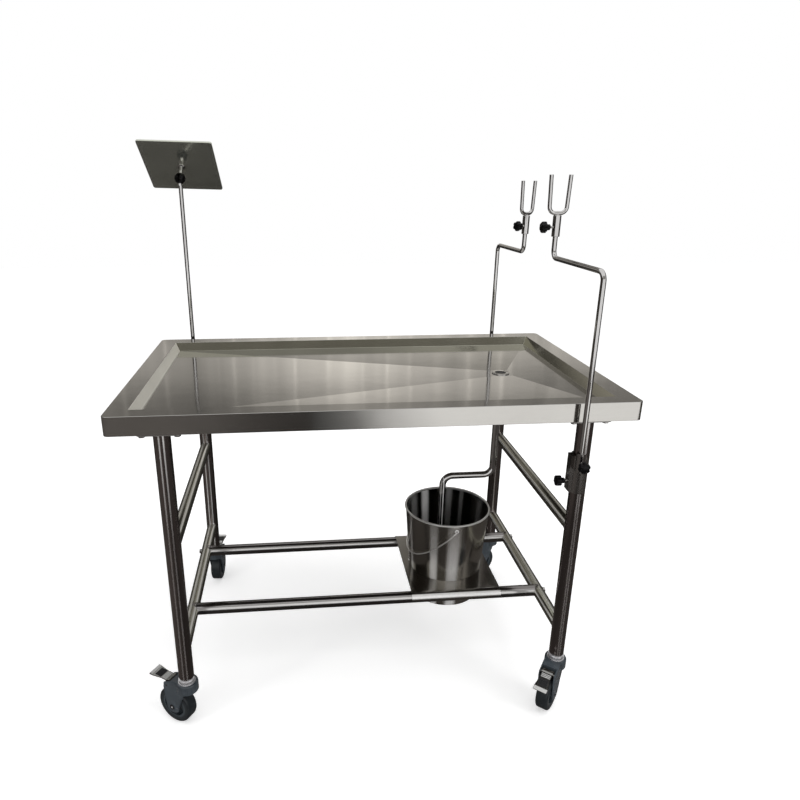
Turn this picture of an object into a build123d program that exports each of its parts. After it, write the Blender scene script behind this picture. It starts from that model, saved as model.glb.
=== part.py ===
from build123d import *
import os
from math import cos, radians, sin

os.makedirs("parts", exist_ok=True)

# Autopsy table of polished stainless steel, in millimetres, +Z up, +X to the drain end, -Y to the front.
# Everything is modelled about the middle of the table top, standing on the floor at Z = 0.

# Table top: one sheet, folded into a rim, an apron with a return lip, and a basin that falls to a drain
LENGTH = 1200
WIDTH = 700
HEIGHT = 865
SHEET = 1.5
APRON = 45
APRON_CORNER = 12
LIP = 15
RIM_END = 48
RIM_SIDE = 44
BEVEL_RUN = 12
BEVEL_DROP = 24
FLOOR_FALL = 5
DRAIN_INSET = 226
WELL = 54

# Under frame: channels, leg plates, round legs and round rails
CHANNEL_WIDTH = 104
CHANNEL_SHEET = 2
PLATE_LENGTH = 96
PLATE_WIDTH = 64
PLATE_THICKNESS = 5
LEG_OD = 38
TUBE_WALL = 1.5
LEG_INSET_X = 115
LEG_INSET_Y = 40
LEG_FOOT = 149
RAIL_OD = 32
UPPER_RAIL_Z = 524
LOWER_RAIL_Z = 228
LONG_RAIL_Y = 147
END_PLUG = 22
FRAME_BOLT = 8
BOLT_HEAD_AF = 13
BOLT_HEAD = 5.3
HEX_SIDES = 6
PLATE_BOLT_X = 38
PLATE_BOLT_Y = 20

# Clearances: a weld gap between fixed tubes, a running fit, a seat between bodies, an overrun for cuts
WELD_GAP = 0.1
FIT = 0.05
SEAT = 0.3
OVERRUN = 5

# Bucket, its shelf and its bail
BUCKET_INSET = 355
BUCKET_FOOT = 158
BUCKET_TOP = 434
BUCKET_TOP_R = 121.6
BUCKET_FOOT_R = 101
BUCKET_WALL = 1.2
BUCKET_BEAD = 3
BUCKET_BASE_LIFT = 6
SHELF_HALF_LENGTH = 127
SHELF_SHEET = 2
SHELF_SKIRT_SHARE = 0.4
EAR_DROP = 18
EAR_R = 12
EAR_THICKNESS = 2.5
EAR_BUSH_R = 5.5
EAR_BUSH = 2
WIRE = 4.4
BAIL_REACH = 163
BAIL_BEND = 4
BAIL_ANGLE = 45.5

# Drain: flanged body through the well, lift-out strainer, locknut and swan-neck pipe
FLANGE_R = 24
FLANGE = 2
FLANGE_EDGE = 0.6
TAIL_R = 16.5
TAIL_BORE_R = 12
TAIL_LENGTH = 36
STRAINER_R = 14.5
STRAINER = 2
STRAINER_HOLE_R = 1.8
STRAINER_RING_SHARES = ((0.35, 5), (0.75, 11))
LEDGE_DEPTH = 3
LOCKNUT_AF = 44
LOCKNUT = 8
PIPE_OD = 19
PIPE_WALL = 1.5
PIPE_SOCKET = 14
PIPE_BEND = 28
PIPE_RUN_Z = 529
PIPE_SIDE_STEP = 17
PIPE_END_Z = 345

# Caster: fixed stem with race ring, hooded fork, wheel, axle and brake pedal
WHEEL_R = 50
WHEEL_WIDTH = 32
TRAIL = 38
TYRE = 14
TYRE_EDGE = 5
HUB_WEB = 12
HUB_RIM = 5
HUB_BOSS_R = 12
HUB_SIDE_GAP = 0.5
AXLE_R = 5
AXLE_HEAD_AF = 13
AXLE_HEAD = 2
CROWN_R = 28
CROWN_TOP = 134
CROWN_WEB = 20
CROWN_EDGE = 5
HOOD_WIDTH = 44
HOOD_EDGE = 2.5
HOOD_GAP = 4
HOOD_SLOT = 37
HOOD_LEAD = 6
BOSS_R = 20
STEM_PLUG = 36
COLLAR_R = 18.2
FOOT_RING_R = 20.5
FOOT_RING = 6
GROOVE = 2
RACE_RING_R = 22
RACE_EDGE = 0.6
PIVOT_R = 6
RIVET_R = 10
RIVET = 3.5
PEDAL_X = 52
PEDAL_Z = 114
PEDAL_BARREL_R = 10
PEDAL_PIN_R = 3
PEDAL_PIN_END = 7.5
PEDAL_WIDTH = 28
PEDAL_LIP_WIDTH = 36
PEDAL_LENGTH = 60
PEDAL_SHEET = 3
PEDAL_RISE = 5
PEDAL_LIP = 10
PEDAL_RIB_R = 1.6
PEDAL_RIBS = 3
PEDAL_UP = 2
PEDAL_DOWN = 20

# Accessory clamp: a saddle that slides on a leg, a rising arm and a sleeve for a rod
SADDLE_HEIGHT = 96
SADDLE_DROP = 237
SADDLE_WALL = 4
SADDLE_OPEN = 130
SADDLE_PAD = 9.5
SADDLE_PAD_WIDTH = 22
SADDLE_PAD_CHAMFER = 8
SADDLE_KNOB_RISE = 27
KNOB_TURN = 65
SLEEVE_REACH = 70
SLEEVE_R = 10.5
SLEEVE_RISE = 80
SLEEVE_HEIGHT = 46
ARM_THICKNESS = 8
ARM_RISE = 50
SLEEVE_KNOB_TURN = 18
FRONT_CLAMP_ANGLE = 243.5
RIGHT_CLAMP_ANGLE = 112
LEFT_CLAMP_ANGLE = 111

# Star knobs with a steel screw
KNOB_R = 13.5
KNOB_HEAD = 15
KNOB_DOME = 3
KNOB_CROWN = 1
KNOB_CROWN_R = 9
KNOB_NECK_R = 7
KNOB_NECK = 8
KNOB_LOBES = 6
KNOB_FLUTE_R = 5
KNOB_FLUTE_DEPTH = 1.8
KNOB_FLUTE_TURN = 25
SCREW_R = 3
SCREW_SHOW = 7

# Rods: two cranked ones that carry limb forks, and a straight one for the board
ROD_R = 6
ROD_TAIL = 2
CRANK_BEND = 20
FRONT_CRANK_Z = 1160
FRONT_CRANK = 268
FRONT_CRANK_TURN = 1
REAR_CRANK_Z = 1146
REAR_CRANK = 213
REAR_CRANK_TURN = 182.3
FORK_RISE = 50
FORK_SLEEVE_R = 9.7
FORK_SLEEVE = 50
FORK_SLEEVE_CAP = 8
PRONG_R = 4.8
PRONG_GAP = 42
PRONG_FLARE = 3
PRONG_HEIGHT = 92
PRONG_BEND = 15
PRONG_TIP = 1.5
FORK_KNOB_RISE = 22
REAR_FORK_TURN = 28

# Board on its ball joint
BALL_Z = 1340
BALL_R = 15.8
BALL_SLOT = 7
BALL_ROOF = 8.5
TONGUE_R = 7.5
TONGUE = 6.4
TONGUE_SHOULDER = 20
BALL_PIN_R = 2.5
STEM_R = 6.5
STEM_SEAT = 10
STEM_REACH = 41
STEM_COLLAR_R = 11
STEM_COLLAR = 2
BOARD_SIZE = 211
BOARD_SHEET = 1.5
BOARD_LIP = 5
BOARD_CORNER = 7
BOARD_TILT = 37
BOARD_TURN = -5.1
BOARD_SPIN = 2.2

# Places worked out from the sizes above
LEG_X = LENGTH / 2 - LEG_INSET_X
LEG_Y = WIDTH / 2 - LEG_INSET_Y
LEG_R = LEG_OD / 2
DRAIN_X = LENGTH / 2 - DRAIN_INSET
BUCKET_X = LENGTH / 2 - BUCKET_INSET
PIPE_END_X = BUCKET_X - PIPE_SIDE_STEP
SADDLE_Z = HEIGHT - SADDLE_DROP
RAIL_R = RAIL_OD / 2
APRON_Z = HEIGHT - APRON
PLATE_Z = APRON_Z - PLATE_THICKNESS
WELL_Z = HEIGHT - BEVEL_DROP - FLOOR_FALL
CORNERS = {"front_left": (-1, -1), "front_right": (1, -1), "rear_left": (-1, 1), "rear_right": (1, 1)}
CASTER_ANGLES = {"front_left": 147, "front_right": 229, "rear_left": 84, "rear_right": 200}

pieces = []


def keep(part, name):
    """Label a finished piece and put it with the others."""
    part.label = name
    pieces.append(part)


def place(part, name, spot):
    """Keep a copy of a piece that was modelled at its own origin, moved to its spot."""
    keep(part.moved(spot), name)


# Table top


def basin(grow):
    """Basin space, or its outside when grown by the sheet: sloping sides, then a floor that falls."""
    top = HEIGHT
    step = HEIGHT - BEVEL_DROP - grow
    length = LENGTH - 2 * RIM_END
    width = WIDTH - 2 * RIM_SIDE
    with BuildPart() as space:
        with BuildSketch(Plane.XY.offset(top)):
            Rectangle(length + 2 * grow, width + 2 * grow)
        with BuildSketch(Plane.XY.offset(step)):
            Rectangle(length - 2 * BEVEL_RUN + 2 * grow, width - 2 * BEVEL_RUN + 2 * grow)
        loft()
        with BuildSketch(Plane.XY.offset(step)):
            Rectangle(length - 2 * BEVEL_RUN + 2 * grow, width - 2 * BEVEL_RUN + 2 * grow)
        with BuildSketch(Plane.XY.offset(step - FLOOR_FALL)):
            with Locations((DRAIN_X, 0)):
                Rectangle(WELL + 2 * grow, WELL + 2 * grow)
        loft()
    return space.part


with BuildPart() as table_top:
    with BuildSketch(Plane.XY.offset(APRON_Z)):
        RectangleRounded(LENGTH, WIDTH, APRON_CORNER)
    extrude(amount=APRON)
    with BuildSketch(Plane.XY.offset(APRON_Z + SHEET)):
        RectangleRounded(LENGTH - 2 * SHEET, WIDTH - 2 * SHEET, APRON_CORNER - SHEET)
    extrude(amount=APRON - 2 * SHEET, mode=Mode.SUBTRACT)
    with BuildSketch(Plane.XY.offset(APRON_Z)):
        Rectangle(LENGTH - 2 * LIP, WIDTH - 2 * LIP)
    extrude(amount=SHEET, mode=Mode.SUBTRACT)
    add(basin(SHEET))
    add(basin(0), mode=Mode.SUBTRACT)
    with Locations((DRAIN_X, 0, WELL_Z)):
        Cylinder(TAIL_R + SEAT, 2 * OVERRUN, mode=Mode.SUBTRACT)
keep(table_top.part, "table_top")

# Two channels across the underside carry the tops of the legs
CHANNEL_Z = APRON_Z + SHEET
CHANNEL_HEIGHT = WELL_Z - SHEET - SEAT - CHANNEL_Z
PLATE_BOLTS = [
    (side_x * LEG_X + bolt_x, side_y * LEG_Y + bolt_y)
    for side_x, side_y in CORNERS.values()
    for bolt_x in (-PLATE_BOLT_X, PLATE_BOLT_X)
    for bolt_y in (-PLATE_BOLT_Y, PLATE_BOLT_Y)
]
with BuildPart() as cross_channels:
    with BuildSketch(Plane.XY.offset(CHANNEL_Z)):
        with Locations((-LEG_X, 0), (LEG_X, 0)):
            Rectangle(CHANNEL_WIDTH, WIDTH - 2 * SHEET)
    extrude(amount=CHANNEL_HEIGHT)
    with BuildSketch(Plane.XY.offset(CHANNEL_Z + CHANNEL_SHEET)):
        with Locations((-LEG_X, 0), (LEG_X, 0)):
            Rectangle(CHANNEL_WIDTH - 2 * CHANNEL_SHEET, WIDTH)
    extrude(amount=CHANNEL_HEIGHT, mode=Mode.SUBTRACT)
    with BuildSketch(Plane.XY.offset(CHANNEL_Z)):
        with Locations(*PLATE_BOLTS):
            Circle(FRAME_BOLT / 2)
    extrude(amount=CHANNEL_SHEET, mode=Mode.SUBTRACT)
keep(cross_channels.part, "cross_channels")

with BuildPart() as leg_plates:
    with BuildSketch(Plane.XY.offset(PLATE_Z)):
        with GridLocations(2 * LEG_X, 2 * LEG_Y, 2, 2):
            RectangleRounded(PLATE_LENGTH, PLATE_WIDTH, FRAME_BOLT)
    extrude(amount=PLATE_THICKNESS)
    with BuildSketch(Plane.XY.offset(PLATE_Z)):
        with Locations(*PLATE_BOLTS):
            Circle(FRAME_BOLT / 2 + SEAT)
    extrude(amount=PLATE_THICKNESS, mode=Mode.SUBTRACT)
keep(leg_plates.part, "leg_plates")

with BuildPart() as plate_bolts:
    with BuildSketch(Plane.XY.offset(PLATE_Z - BOLT_HEAD)):
        with Locations(*PLATE_BOLTS):
            RegularPolygon(BOLT_HEAD_AF / 2, HEX_SIDES, major_radius=False)
    extrude(amount=BOLT_HEAD)
    with BuildSketch(Plane.XY.offset(PLATE_Z)):
        with Locations(*PLATE_BOLTS):
            Circle(FRAME_BOLT / 2 - FIT)
    extrude(amount=CHANNEL_Z + 2 * CHANNEL_SHEET - PLATE_Z)
keep(plate_bolts.part, "plate_bolts")

# Legs and rails: every rail end is coped to the tube that it is welded to
for corner, (side_x, side_y) in CORNERS.items():
    with BuildPart() as leg:
        with BuildSketch(Plane.XY.offset(LEG_FOOT)):
            with Locations((side_x * LEG_X, side_y * LEG_Y)):
                Circle(LEG_R)
                Circle(LEG_R - TUBE_WALL, mode=Mode.SUBTRACT)
        extrude(amount=PLATE_Z - LEG_FOOT)
    keep(leg.part, f"leg_{corner}")


def side_rail(side, height, bolted):
    """Rail from a front leg to a rear leg, drilled where the long rails are bolted to it."""
    with BuildPart() as rail:
        with Locations((side * LEG_X, 0, height)):
            Cylinder(RAIL_R, 2 * LEG_Y, rotation=(90, 0, 0))
            Cylinder(RAIL_R - TUBE_WALL, 2 * LEG_Y, rotation=(90, 0, 0), mode=Mode.SUBTRACT)
        with Locations((side * LEG_X, -LEG_Y, height), (side * LEG_X, LEG_Y, height)):
            Cylinder(LEG_R + WELD_GAP, 2 * RAIL_OD, mode=Mode.SUBTRACT)
        if bolted:
            with Locations((side * LEG_X, -LONG_RAIL_Y, height), (side * LEG_X, LONG_RAIL_Y, height)):
                Cylinder(FRAME_BOLT / 2 + SEAT, 2 * RAIL_OD, rotation=(0, 90, 0), mode=Mode.SUBTRACT)
    return rail.part


for side, hand in ((-1, "left"), (1, "right")):
    keep(side_rail(side, UPPER_RAIL_Z, False), f"upper_rail_{hand}")
    keep(side_rail(side, LOWER_RAIL_Z, True), f"lower_rail_{hand}")

# Two long rails join the lower side rails: a plug in each end takes the frame bolt
PLUG_X = LEG_X - RAIL_R - END_PLUG / 2
with BuildPart() as long_rails:
    with Locations((0, -LONG_RAIL_Y, LOWER_RAIL_Z), (0, LONG_RAIL_Y, LOWER_RAIL_Z)):
        Cylinder(RAIL_R, 2 * LEG_X, rotation=(0, 90, 0))
        Cylinder(RAIL_R - TUBE_WALL, 2 * LEG_X, rotation=(0, 90, 0), mode=Mode.SUBTRACT)
    with Locations(*[(x, y, LOWER_RAIL_Z) for x in (-PLUG_X, PLUG_X) for y in (-LONG_RAIL_Y, LONG_RAIL_Y)]):
        Cylinder(RAIL_R - TUBE_WALL, END_PLUG, rotation=(0, 90, 0))
        Cylinder(FRAME_BOLT / 2, END_PLUG, rotation=(0, 90, 0), mode=Mode.SUBTRACT)
    with Locations((-LEG_X, 0, LOWER_RAIL_Z), (LEG_X, 0, LOWER_RAIL_Z)):
        Cylinder(RAIL_R + WELD_GAP, 2 * LEG_Y, rotation=(90, 0, 0), mode=Mode.SUBTRACT)
keep(long_rails.part, "long_rails")

RAIL_BOLT = 2 * RAIL_R + END_PLUG
with BuildPart() as rail_bolts:
    for side in (-1, 1):
        face = Plane(origin=(side * (LEG_X + RAIL_R), 0, LOWER_RAIL_Z), z_dir=(side, 0, 0))
        with BuildSketch(face):
            with Locations((0, -LONG_RAIL_Y), (0, LONG_RAIL_Y)):
                RegularPolygon(BOLT_HEAD_AF / 2, HEX_SIDES, major_radius=False)
        extrude(amount=BOLT_HEAD)
        with BuildSketch(face):
            with Locations((0, -LONG_RAIL_Y), (0, LONG_RAIL_Y)):
                Circle(FRAME_BOLT / 2 - FIT)
        extrude(amount=-RAIL_BOLT)
keep(rail_bolts.part, "rail_bolts")

# Bucket shelf: a plate with a round hole, its long edges rolled over the rails
SHELF_Z = LOWER_RAIL_Z + RAIL_R + WELD_GAP
ROLL_R = RAIL_R + WELD_GAP + SHELF_SHEET


def bucket_radius(z):
    """Outside radius of the tapered bucket wall at a height."""
    share = (z - BUCKET_FOOT) / (BUCKET_TOP - BUCKET_FOOT)
    return BUCKET_FOOT_R + share * (BUCKET_TOP_R - BUCKET_FOOT_R)


with BuildPart() as bucket_shelf:
    with BuildSketch(Plane.YZ.offset(BUCKET_X - SHELF_HALF_LENGTH)):
        with Locations((0, SHELF_Z + SHELF_SHEET / 2)):
            Rectangle(2 * LONG_RAIL_Y, SHELF_SHEET)
        with Locations((-LONG_RAIL_Y, LOWER_RAIL_Z), (LONG_RAIL_Y, LOWER_RAIL_Z)):
            Circle(ROLL_R)
            Circle(RAIL_R + WELD_GAP, mode=Mode.SUBTRACT)
        with Locations((0, SHELF_Z - ROLL_R)):
            Rectangle(2 * LONG_RAIL_Y, 2 * ROLL_R, mode=Mode.SUBTRACT)
        with Locations((0, LOWER_RAIL_Z - (1 + SHELF_SKIRT_SHARE) * ROLL_R)):
            Rectangle(WIDTH, 2 * ROLL_R, mode=Mode.SUBTRACT)
    extrude(amount=2 * SHELF_HALF_LENGTH)
    with Locations((BUCKET_X, 0, SHELF_Z)):
        Cylinder(bucket_radius(SHELF_Z + SHELF_SHEET) + SEAT, 2 * OVERRUN, mode=Mode.SUBTRACT)
keep(bucket_shelf.part, "bucket_shelf")

# Bucket: tapered wall with a foot, a wired rim and two ears with bushes for the bail
EAR_Z = BUCKET_TOP - EAR_DROP
EAR_FACE = bucket_radius(EAR_Z) + EAR_THICKNESS
BASE_Z = BUCKET_FOOT + BUCKET_BASE_LIFT
WALL_TOP = BUCKET_TOP - BUCKET_BEAD
with BuildPart() as bucket:
    with BuildSketch(Plane.XZ):
        with BuildLine():
            Polyline(
                (0, BASE_Z),
                (bucket_radius(BASE_Z) - BUCKET_WALL / 2, BASE_Z),
                (BUCKET_FOOT_R - BUCKET_WALL, BUCKET_FOOT),
                (BUCKET_FOOT_R, BUCKET_FOOT),
                (bucket_radius(WALL_TOP), WALL_TOP),
                (bucket_radius(WALL_TOP) - BUCKET_WALL, WALL_TOP),
                (bucket_radius(BASE_Z + BUCKET_WALL) - BUCKET_WALL, BASE_Z + BUCKET_WALL),
                (0, BASE_Z + BUCKET_WALL),
                close=True,
            )
        make_face()
        with Locations((bucket_radius(WALL_TOP), WALL_TOP)):
            Circle(BUCKET_BEAD)
    revolve(axis=Axis.Z)
    for side in (-1, 1):
        with Locations((0, side * (EAR_FACE - EAR_THICKNESS), EAR_Z)):
            Cylinder(EAR_R, 2 * EAR_THICKNESS, rotation=(90, 0, 0))
        with Locations((0, side * EAR_FACE, EAR_Z)):
            Cylinder(EAR_BUSH_R, 2 * EAR_BUSH, rotation=(90, 0, 0))
    with BuildSketch(Plane.XY.offset(BASE_Z + BUCKET_WALL)):
        Circle(bucket_radius(BASE_Z + BUCKET_WALL) - BUCKET_WALL)
    with BuildSketch(Plane.XY.offset(WALL_TOP)):
        Circle(bucket_radius(WALL_TOP) - BUCKET_WALL)
    loft(mode=Mode.SUBTRACT)
    with Locations((0, 0, EAR_Z)):
        Cylinder(WIRE / 2 + SEAT, 2 * (EAR_FACE + EAR_BUSH), rotation=(90, 0, 0), mode=Mode.SUBTRACT)
place(bucket.part, "bucket", Location((BUCKET_X, 0, 0)))

# Bail: one wire bent to half an ellipse, its ends turned in through the ear bushes
BAIL_Y = EAR_FACE + EAR_BUSH + BAIL_BEND + SEAT
BAIL_END = EAR_FACE - EAR_THICKNESS
with BuildPart() as bail:
    with BuildLine() as bail_line:
        first = Line((0, -BAIL_END, 0), (0, -BAIL_Y + BAIL_BEND, 0))
        TangentArc(first @ 1, (-BAIL_BEND, -BAIL_Y, 0), tangent=first % 1)
        EllipticalCenterArc((-BAIL_BEND, 0, 0), BAIL_REACH - BAIL_BEND, BAIL_Y, 90, arc_size=180)
        last = Line((0, BAIL_Y - BAIL_BEND, 0), (0, BAIL_END, 0))
        TangentArc(last @ 0, (-BAIL_BEND, BAIL_Y, 0), tangent=(0, 1, 0))
    with BuildSketch(Plane(origin=first @ 0, z_dir=first % 0)):
        Circle(WIRE / 2)
    sweep()
place(bail.part, "bail", Location((BUCKET_X, 0, EAR_Z), (0, -BAIL_ANGLE, 0)))

# Drain body, strainer, locknut and pipe
SOCKET_Z = WELL_Z - TAIL_LENGTH
PIPE_TOP = SOCKET_Z + PIPE_SOCKET
with BuildPart() as drain_body:
    with Locations((DRAIN_X, 0, WELL_Z)):
        Cylinder(FLANGE_R, FLANGE, align=(Align.CENTER, Align.CENTER, Align.MIN))
        Cylinder(TAIL_R, TAIL_LENGTH, align=(Align.CENTER, Align.CENTER, Align.MAX))
    fillet(drain_body.edges().group_by(Axis.Z)[-1], FLANGE_EDGE)
    with Locations((DRAIN_X, 0, WELL_Z + FLANGE)):
        Cylinder(
            STRAINER_R + SEAT, LEDGE_DEPTH, align=(Align.CENTER, Align.CENTER, Align.MAX), mode=Mode.SUBTRACT
        )
    with Locations((DRAIN_X, 0, PIPE_TOP)):
        Cylinder(
            TAIL_BORE_R, TAIL_LENGTH, align=(Align.CENTER, Align.CENTER, Align.MIN), mode=Mode.SUBTRACT
        )
    with Locations((DRAIN_X, 0, SOCKET_Z)):
        Cylinder(
            PIPE_OD / 2 + FIT, PIPE_SOCKET, align=(Align.CENTER, Align.CENTER, Align.MIN), mode=Mode.SUBTRACT
        )
keep(drain_body.part, "drain_body")

with BuildPart() as strainer:
    with Locations((DRAIN_X, 0, WELL_Z + FLANGE - LEDGE_DEPTH + SEAT)):
        Cylinder(STRAINER_R, STRAINER, align=(Align.CENTER, Align.CENTER, Align.MIN))
        for share, count in STRAINER_RING_SHARES:
            with PolarLocations(share * STRAINER_R, count):
                Cylinder(
                    STRAINER_HOLE_R,
                    STRAINER,
                    align=(Align.CENTER, Align.CENTER, Align.MIN),
                    mode=Mode.SUBTRACT,
                )
keep(strainer.part, "drain_strainer")

with BuildPart() as locknut:
    with BuildSketch(Plane.XY.offset(WELL_Z - SHEET - LOCKNUT)):
        with Locations((DRAIN_X, 0)):
            RegularPolygon(LOCKNUT_AF / 2, HEX_SIDES, major_radius=False)
            Circle(TAIL_R + FIT, mode=Mode.SUBTRACT)
    extrude(amount=LOCKNUT)
keep(locknut.part, "drain_locknut")

with BuildPart() as drain_pipe:
    with BuildLine() as pipe_line:
        FilletPolyline(
            (DRAIN_X, 0, PIPE_TOP),
            (DRAIN_X, 0, PIPE_RUN_Z),
            (PIPE_END_X, 0, PIPE_RUN_Z),
            (PIPE_END_X, 0, PIPE_END_Z),
            radius=PIPE_BEND,
        )
    with BuildSketch(Plane(origin=pipe_line.line @ 0, z_dir=pipe_line.line % 0)):
        Circle(PIPE_OD / 2)
        Circle(PIPE_OD / 2 - PIPE_WALL, mode=Mode.SUBTRACT)
    sweep()
keep(drain_pipe.part, "drain_pipe")

# Casters, modelled once with the swivel axis at the origin and the wheel trailing to +X
RACE_Z = LEG_FOOT - 3 * FOOT_RING - GROOVE
CROWN_FLOOR = RACE_Z - SEAT
CROWN_Z = CROWN_FLOOR - CROWN_WEB
BELOW = (Align.CENTER, Align.CENTER, Align.MAX)
ABOVE = (Align.CENTER, Align.CENTER, Align.MIN)
with BuildPart() as stem:
    with Locations((0, 0, LEG_FOOT)):
        Cylinder(LEG_R - TUBE_WALL - FIT, STEM_PLUG, align=ABOVE)
        Cylinder(COLLAR_R, 2 * FOOT_RING + GROOVE, align=BELOW)
    with Locations((0, 0, LEG_FOOT - FOOT_RING)):
        Cylinder(FOOT_RING_R, FOOT_RING, align=BELOW)
    with Locations((0, 0, RACE_Z)):
        Cylinder(RACE_RING_R, FOOT_RING, align=ABOVE)
    fillet(stem.edges().filter_by(GeomType.CIRCLE).group_by(SortBy.RADIUS)[-1], RACE_EDGE)
    with Locations((0, 0, RACE_Z)):
        Cylinder(PIVOT_R, CROWN_WEB + 2 * SEAT, align=BELOW)
    with Locations((0, 0, CROWN_Z - SEAT)):
        Cylinder(RIVET_R, RIVET, align=BELOW)

with BuildPart() as hood:
    with BuildSketch(Plane.XZ):
        with BuildLine():
            lead = (-HOOD_LEAD, CROWN_Z)
            boss_lead = (TRAIL - BOSS_R, WHEEL_R)
            boss_trail = (TRAIL + BOSS_R, WHEEL_R)
            brow_low = (PEDAL_X + PEDAL_BARREL_R + HOOD_EDGE, PEDAL_Z - PEDAL_BARREL_R)
            brow = (PEDAL_X + PEDAL_BARREL_R, PEDAL_Z + PEDAL_BARREL_R / 2)
            crown = ((CROWN_R, CROWN_TOP), (-HOOD_LEAD, CROWN_TOP))
            Polyline(boss_trail, brow_low, brow, *crown, lead, boss_lead)
            ThreePointArc(boss_lead, (TRAIL, WHEEL_R - BOSS_R), boss_trail)
        make_face()
    extrude(amount=HOOD_WIDTH / 2, both=True)
    chamfer(hood.faces().filter_by(Axis.Y).edges(), HOOD_EDGE)
    with BuildSketch(Plane.XZ):
        with Locations((0, CROWN_Z)):
            Rectangle(CROWN_R, CROWN_TOP - CROWN_Z, align=(Align.MIN, Align.MIN))
        fillet(vertices().group_by(Axis.X)[-1].sort_by(Axis.Y)[-1], CROWN_EDGE)
    revolve(axis=Axis.Z)
    with Locations((TRAIL, 0, WHEEL_R)):
        Cylinder(WHEEL_R + HOOD_GAP, HOOD_SLOT, rotation=(90, 0, 0), mode=Mode.SUBTRACT)
        Box(2 * (WHEEL_R + HOOD_GAP), HOOD_SLOT, WHEEL_R, align=BELOW, mode=Mode.SUBTRACT)
        Cylinder(AXLE_R + FIT, HOOD_WIDTH, rotation=(90, 0, 0), mode=Mode.SUBTRACT)
    with Locations((0, 0, CROWN_FLOOR)):
        Cylinder(RACE_RING_R + SEAT, CROWN_WEB, align=ABOVE, mode=Mode.SUBTRACT)
        Cylinder(PIVOT_R + FIT, 2 * CROWN_WEB, mode=Mode.SUBTRACT)
    with Locations((0, 0, CROWN_Z)):
        Cylinder(RIVET_R + GROOVE, CROWN_WEB, align=BELOW, mode=Mode.SUBTRACT)
    with Locations((PEDAL_X - PEDAL_BARREL_R - SEAT, 0, WHEEL_R)):
        Box(
            HOOD_WIDTH,
            HOOD_SLOT,
            CROWN_TOP,
            align=(Align.MIN, Align.CENTER, Align.MIN),
            mode=Mode.SUBTRACT,
        )
    with Locations((PEDAL_X, 0, PEDAL_Z)):
        Cylinder(PEDAL_PIN_R + FIT, HOOD_WIDTH, rotation=(90, 0, 0), mode=Mode.SUBTRACT)

with BuildPart() as tyre:
    with Locations((TRAIL, 0, WHEEL_R)):
        Cylinder(WHEEL_R, WHEEL_WIDTH, rotation=(90, 0, 0))
        fillet(tyre.edges(), TYRE_EDGE)
        Cylinder(WHEEL_R - TYRE, WHEEL_WIDTH, rotation=(90, 0, 0), mode=Mode.SUBTRACT)

HUB_R = WHEEL_R - TYRE
with BuildPart() as hub:
    with Locations((TRAIL, 0, WHEEL_R)):
        Cylinder(HUB_R, WHEEL_WIDTH - 2 * HUB_SIDE_GAP, rotation=(90, 0, 0))
    for side in (-1, 1):
        with Locations((TRAIL, side * (WHEEL_WIDTH + HUB_WEB) / 2, WHEEL_R)):
            Cylinder(HUB_R - HUB_RIM, WHEEL_WIDTH, rotation=(90, 0, 0), mode=Mode.SUBTRACT)
    with Locations((TRAIL, 0, WHEEL_R)):
        Cylinder(HUB_BOSS_R, HOOD_SLOT - 2 * HUB_SIDE_GAP, rotation=(90, 0, 0))
        Cylinder(AXLE_R + FIT, HOOD_WIDTH, rotation=(90, 0, 0), mode=Mode.SUBTRACT)

with BuildPart() as axle:
    with Locations((TRAIL, 0, WHEEL_R)):
        Cylinder(AXLE_R, HOOD_WIDTH, rotation=(90, 0, 0))
    for side in (-1, 1):
        with BuildSketch(Plane(origin=(TRAIL, side * HOOD_WIDTH / 2, WHEEL_R), z_dir=(0, side, 0))):
            RegularPolygon(AXLE_HEAD_AF / 2, HEX_SIDES, major_radius=False)
        extrude(amount=AXLE_HEAD)

# Pedal: barrel on a cross pin, a plate that widens to a ribbed lip, modelled level about its pin
LIP_X = PEDAL_LENGTH - PEDAL_LIP
with BuildPart() as pedal:
    Cylinder(PEDAL_BARREL_R, PEDAL_WIDTH, rotation=(90, 0, 0))
    with BuildSketch(Plane.XY.offset(PEDAL_RISE)):
        with BuildLine():
            Polyline(
                (0, -PEDAL_WIDTH / 2),
                (LIP_X / 2, -PEDAL_WIDTH / 2),
                (LIP_X, -PEDAL_LIP_WIDTH / 2),
                (PEDAL_LENGTH, -PEDAL_LIP_WIDTH / 2),
                (PEDAL_LENGTH, PEDAL_LIP_WIDTH / 2),
                (LIP_X, PEDAL_LIP_WIDTH / 2),
                (LIP_X / 2, PEDAL_WIDTH / 2),
                (0, PEDAL_WIDTH / 2),
                close=True,
            )
        make_face()
    extrude(amount=PEDAL_SHEET)
    with Locations((PEDAL_LENGTH - PEDAL_LIP / 2, 0, PEDAL_RISE + PEDAL_SHEET)):
        with GridLocations(PEDAL_LIP / PEDAL_RIBS, PEDAL_LIP, PEDAL_RIBS, 1):
            Cylinder(PEDAL_RIB_R, PEDAL_LIP_WIDTH, rotation=(90, 0, 0))
    Cylinder(PEDAL_PIN_R, PEDAL_WIDTH + 2 * PEDAL_PIN_END, rotation=(90, 0, 0))

for corner, (side_x, side_y) in CORNERS.items():
    spot = Location((side_x * LEG_X, side_y * LEG_Y, 0), (0, 0, CASTER_ANGLES[corner]))
    turn = PEDAL_DOWN if corner == "front_right" else -PEDAL_UP
    place(hood.part, f"caster_fork_{corner}", spot)
    place(tyre.part, f"caster_tyre_{corner}", spot)
    place(hub.part, f"caster_hub_{corner}", spot)
    place(axle.part, f"caster_axle_{corner}", spot)
    place(pedal.part, f"brake_pedal_{corner}", spot * Location((PEDAL_X, 0, PEDAL_Z), (0, turn, 0)))

with BuildPart() as caster_stems:
    for side_x, side_y in CORNERS.values():
        add(stem.part.moved(Location((side_x * LEG_X, side_y * LEG_Y, 0))))
keep(caster_stems.part, "caster_stems")

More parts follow.
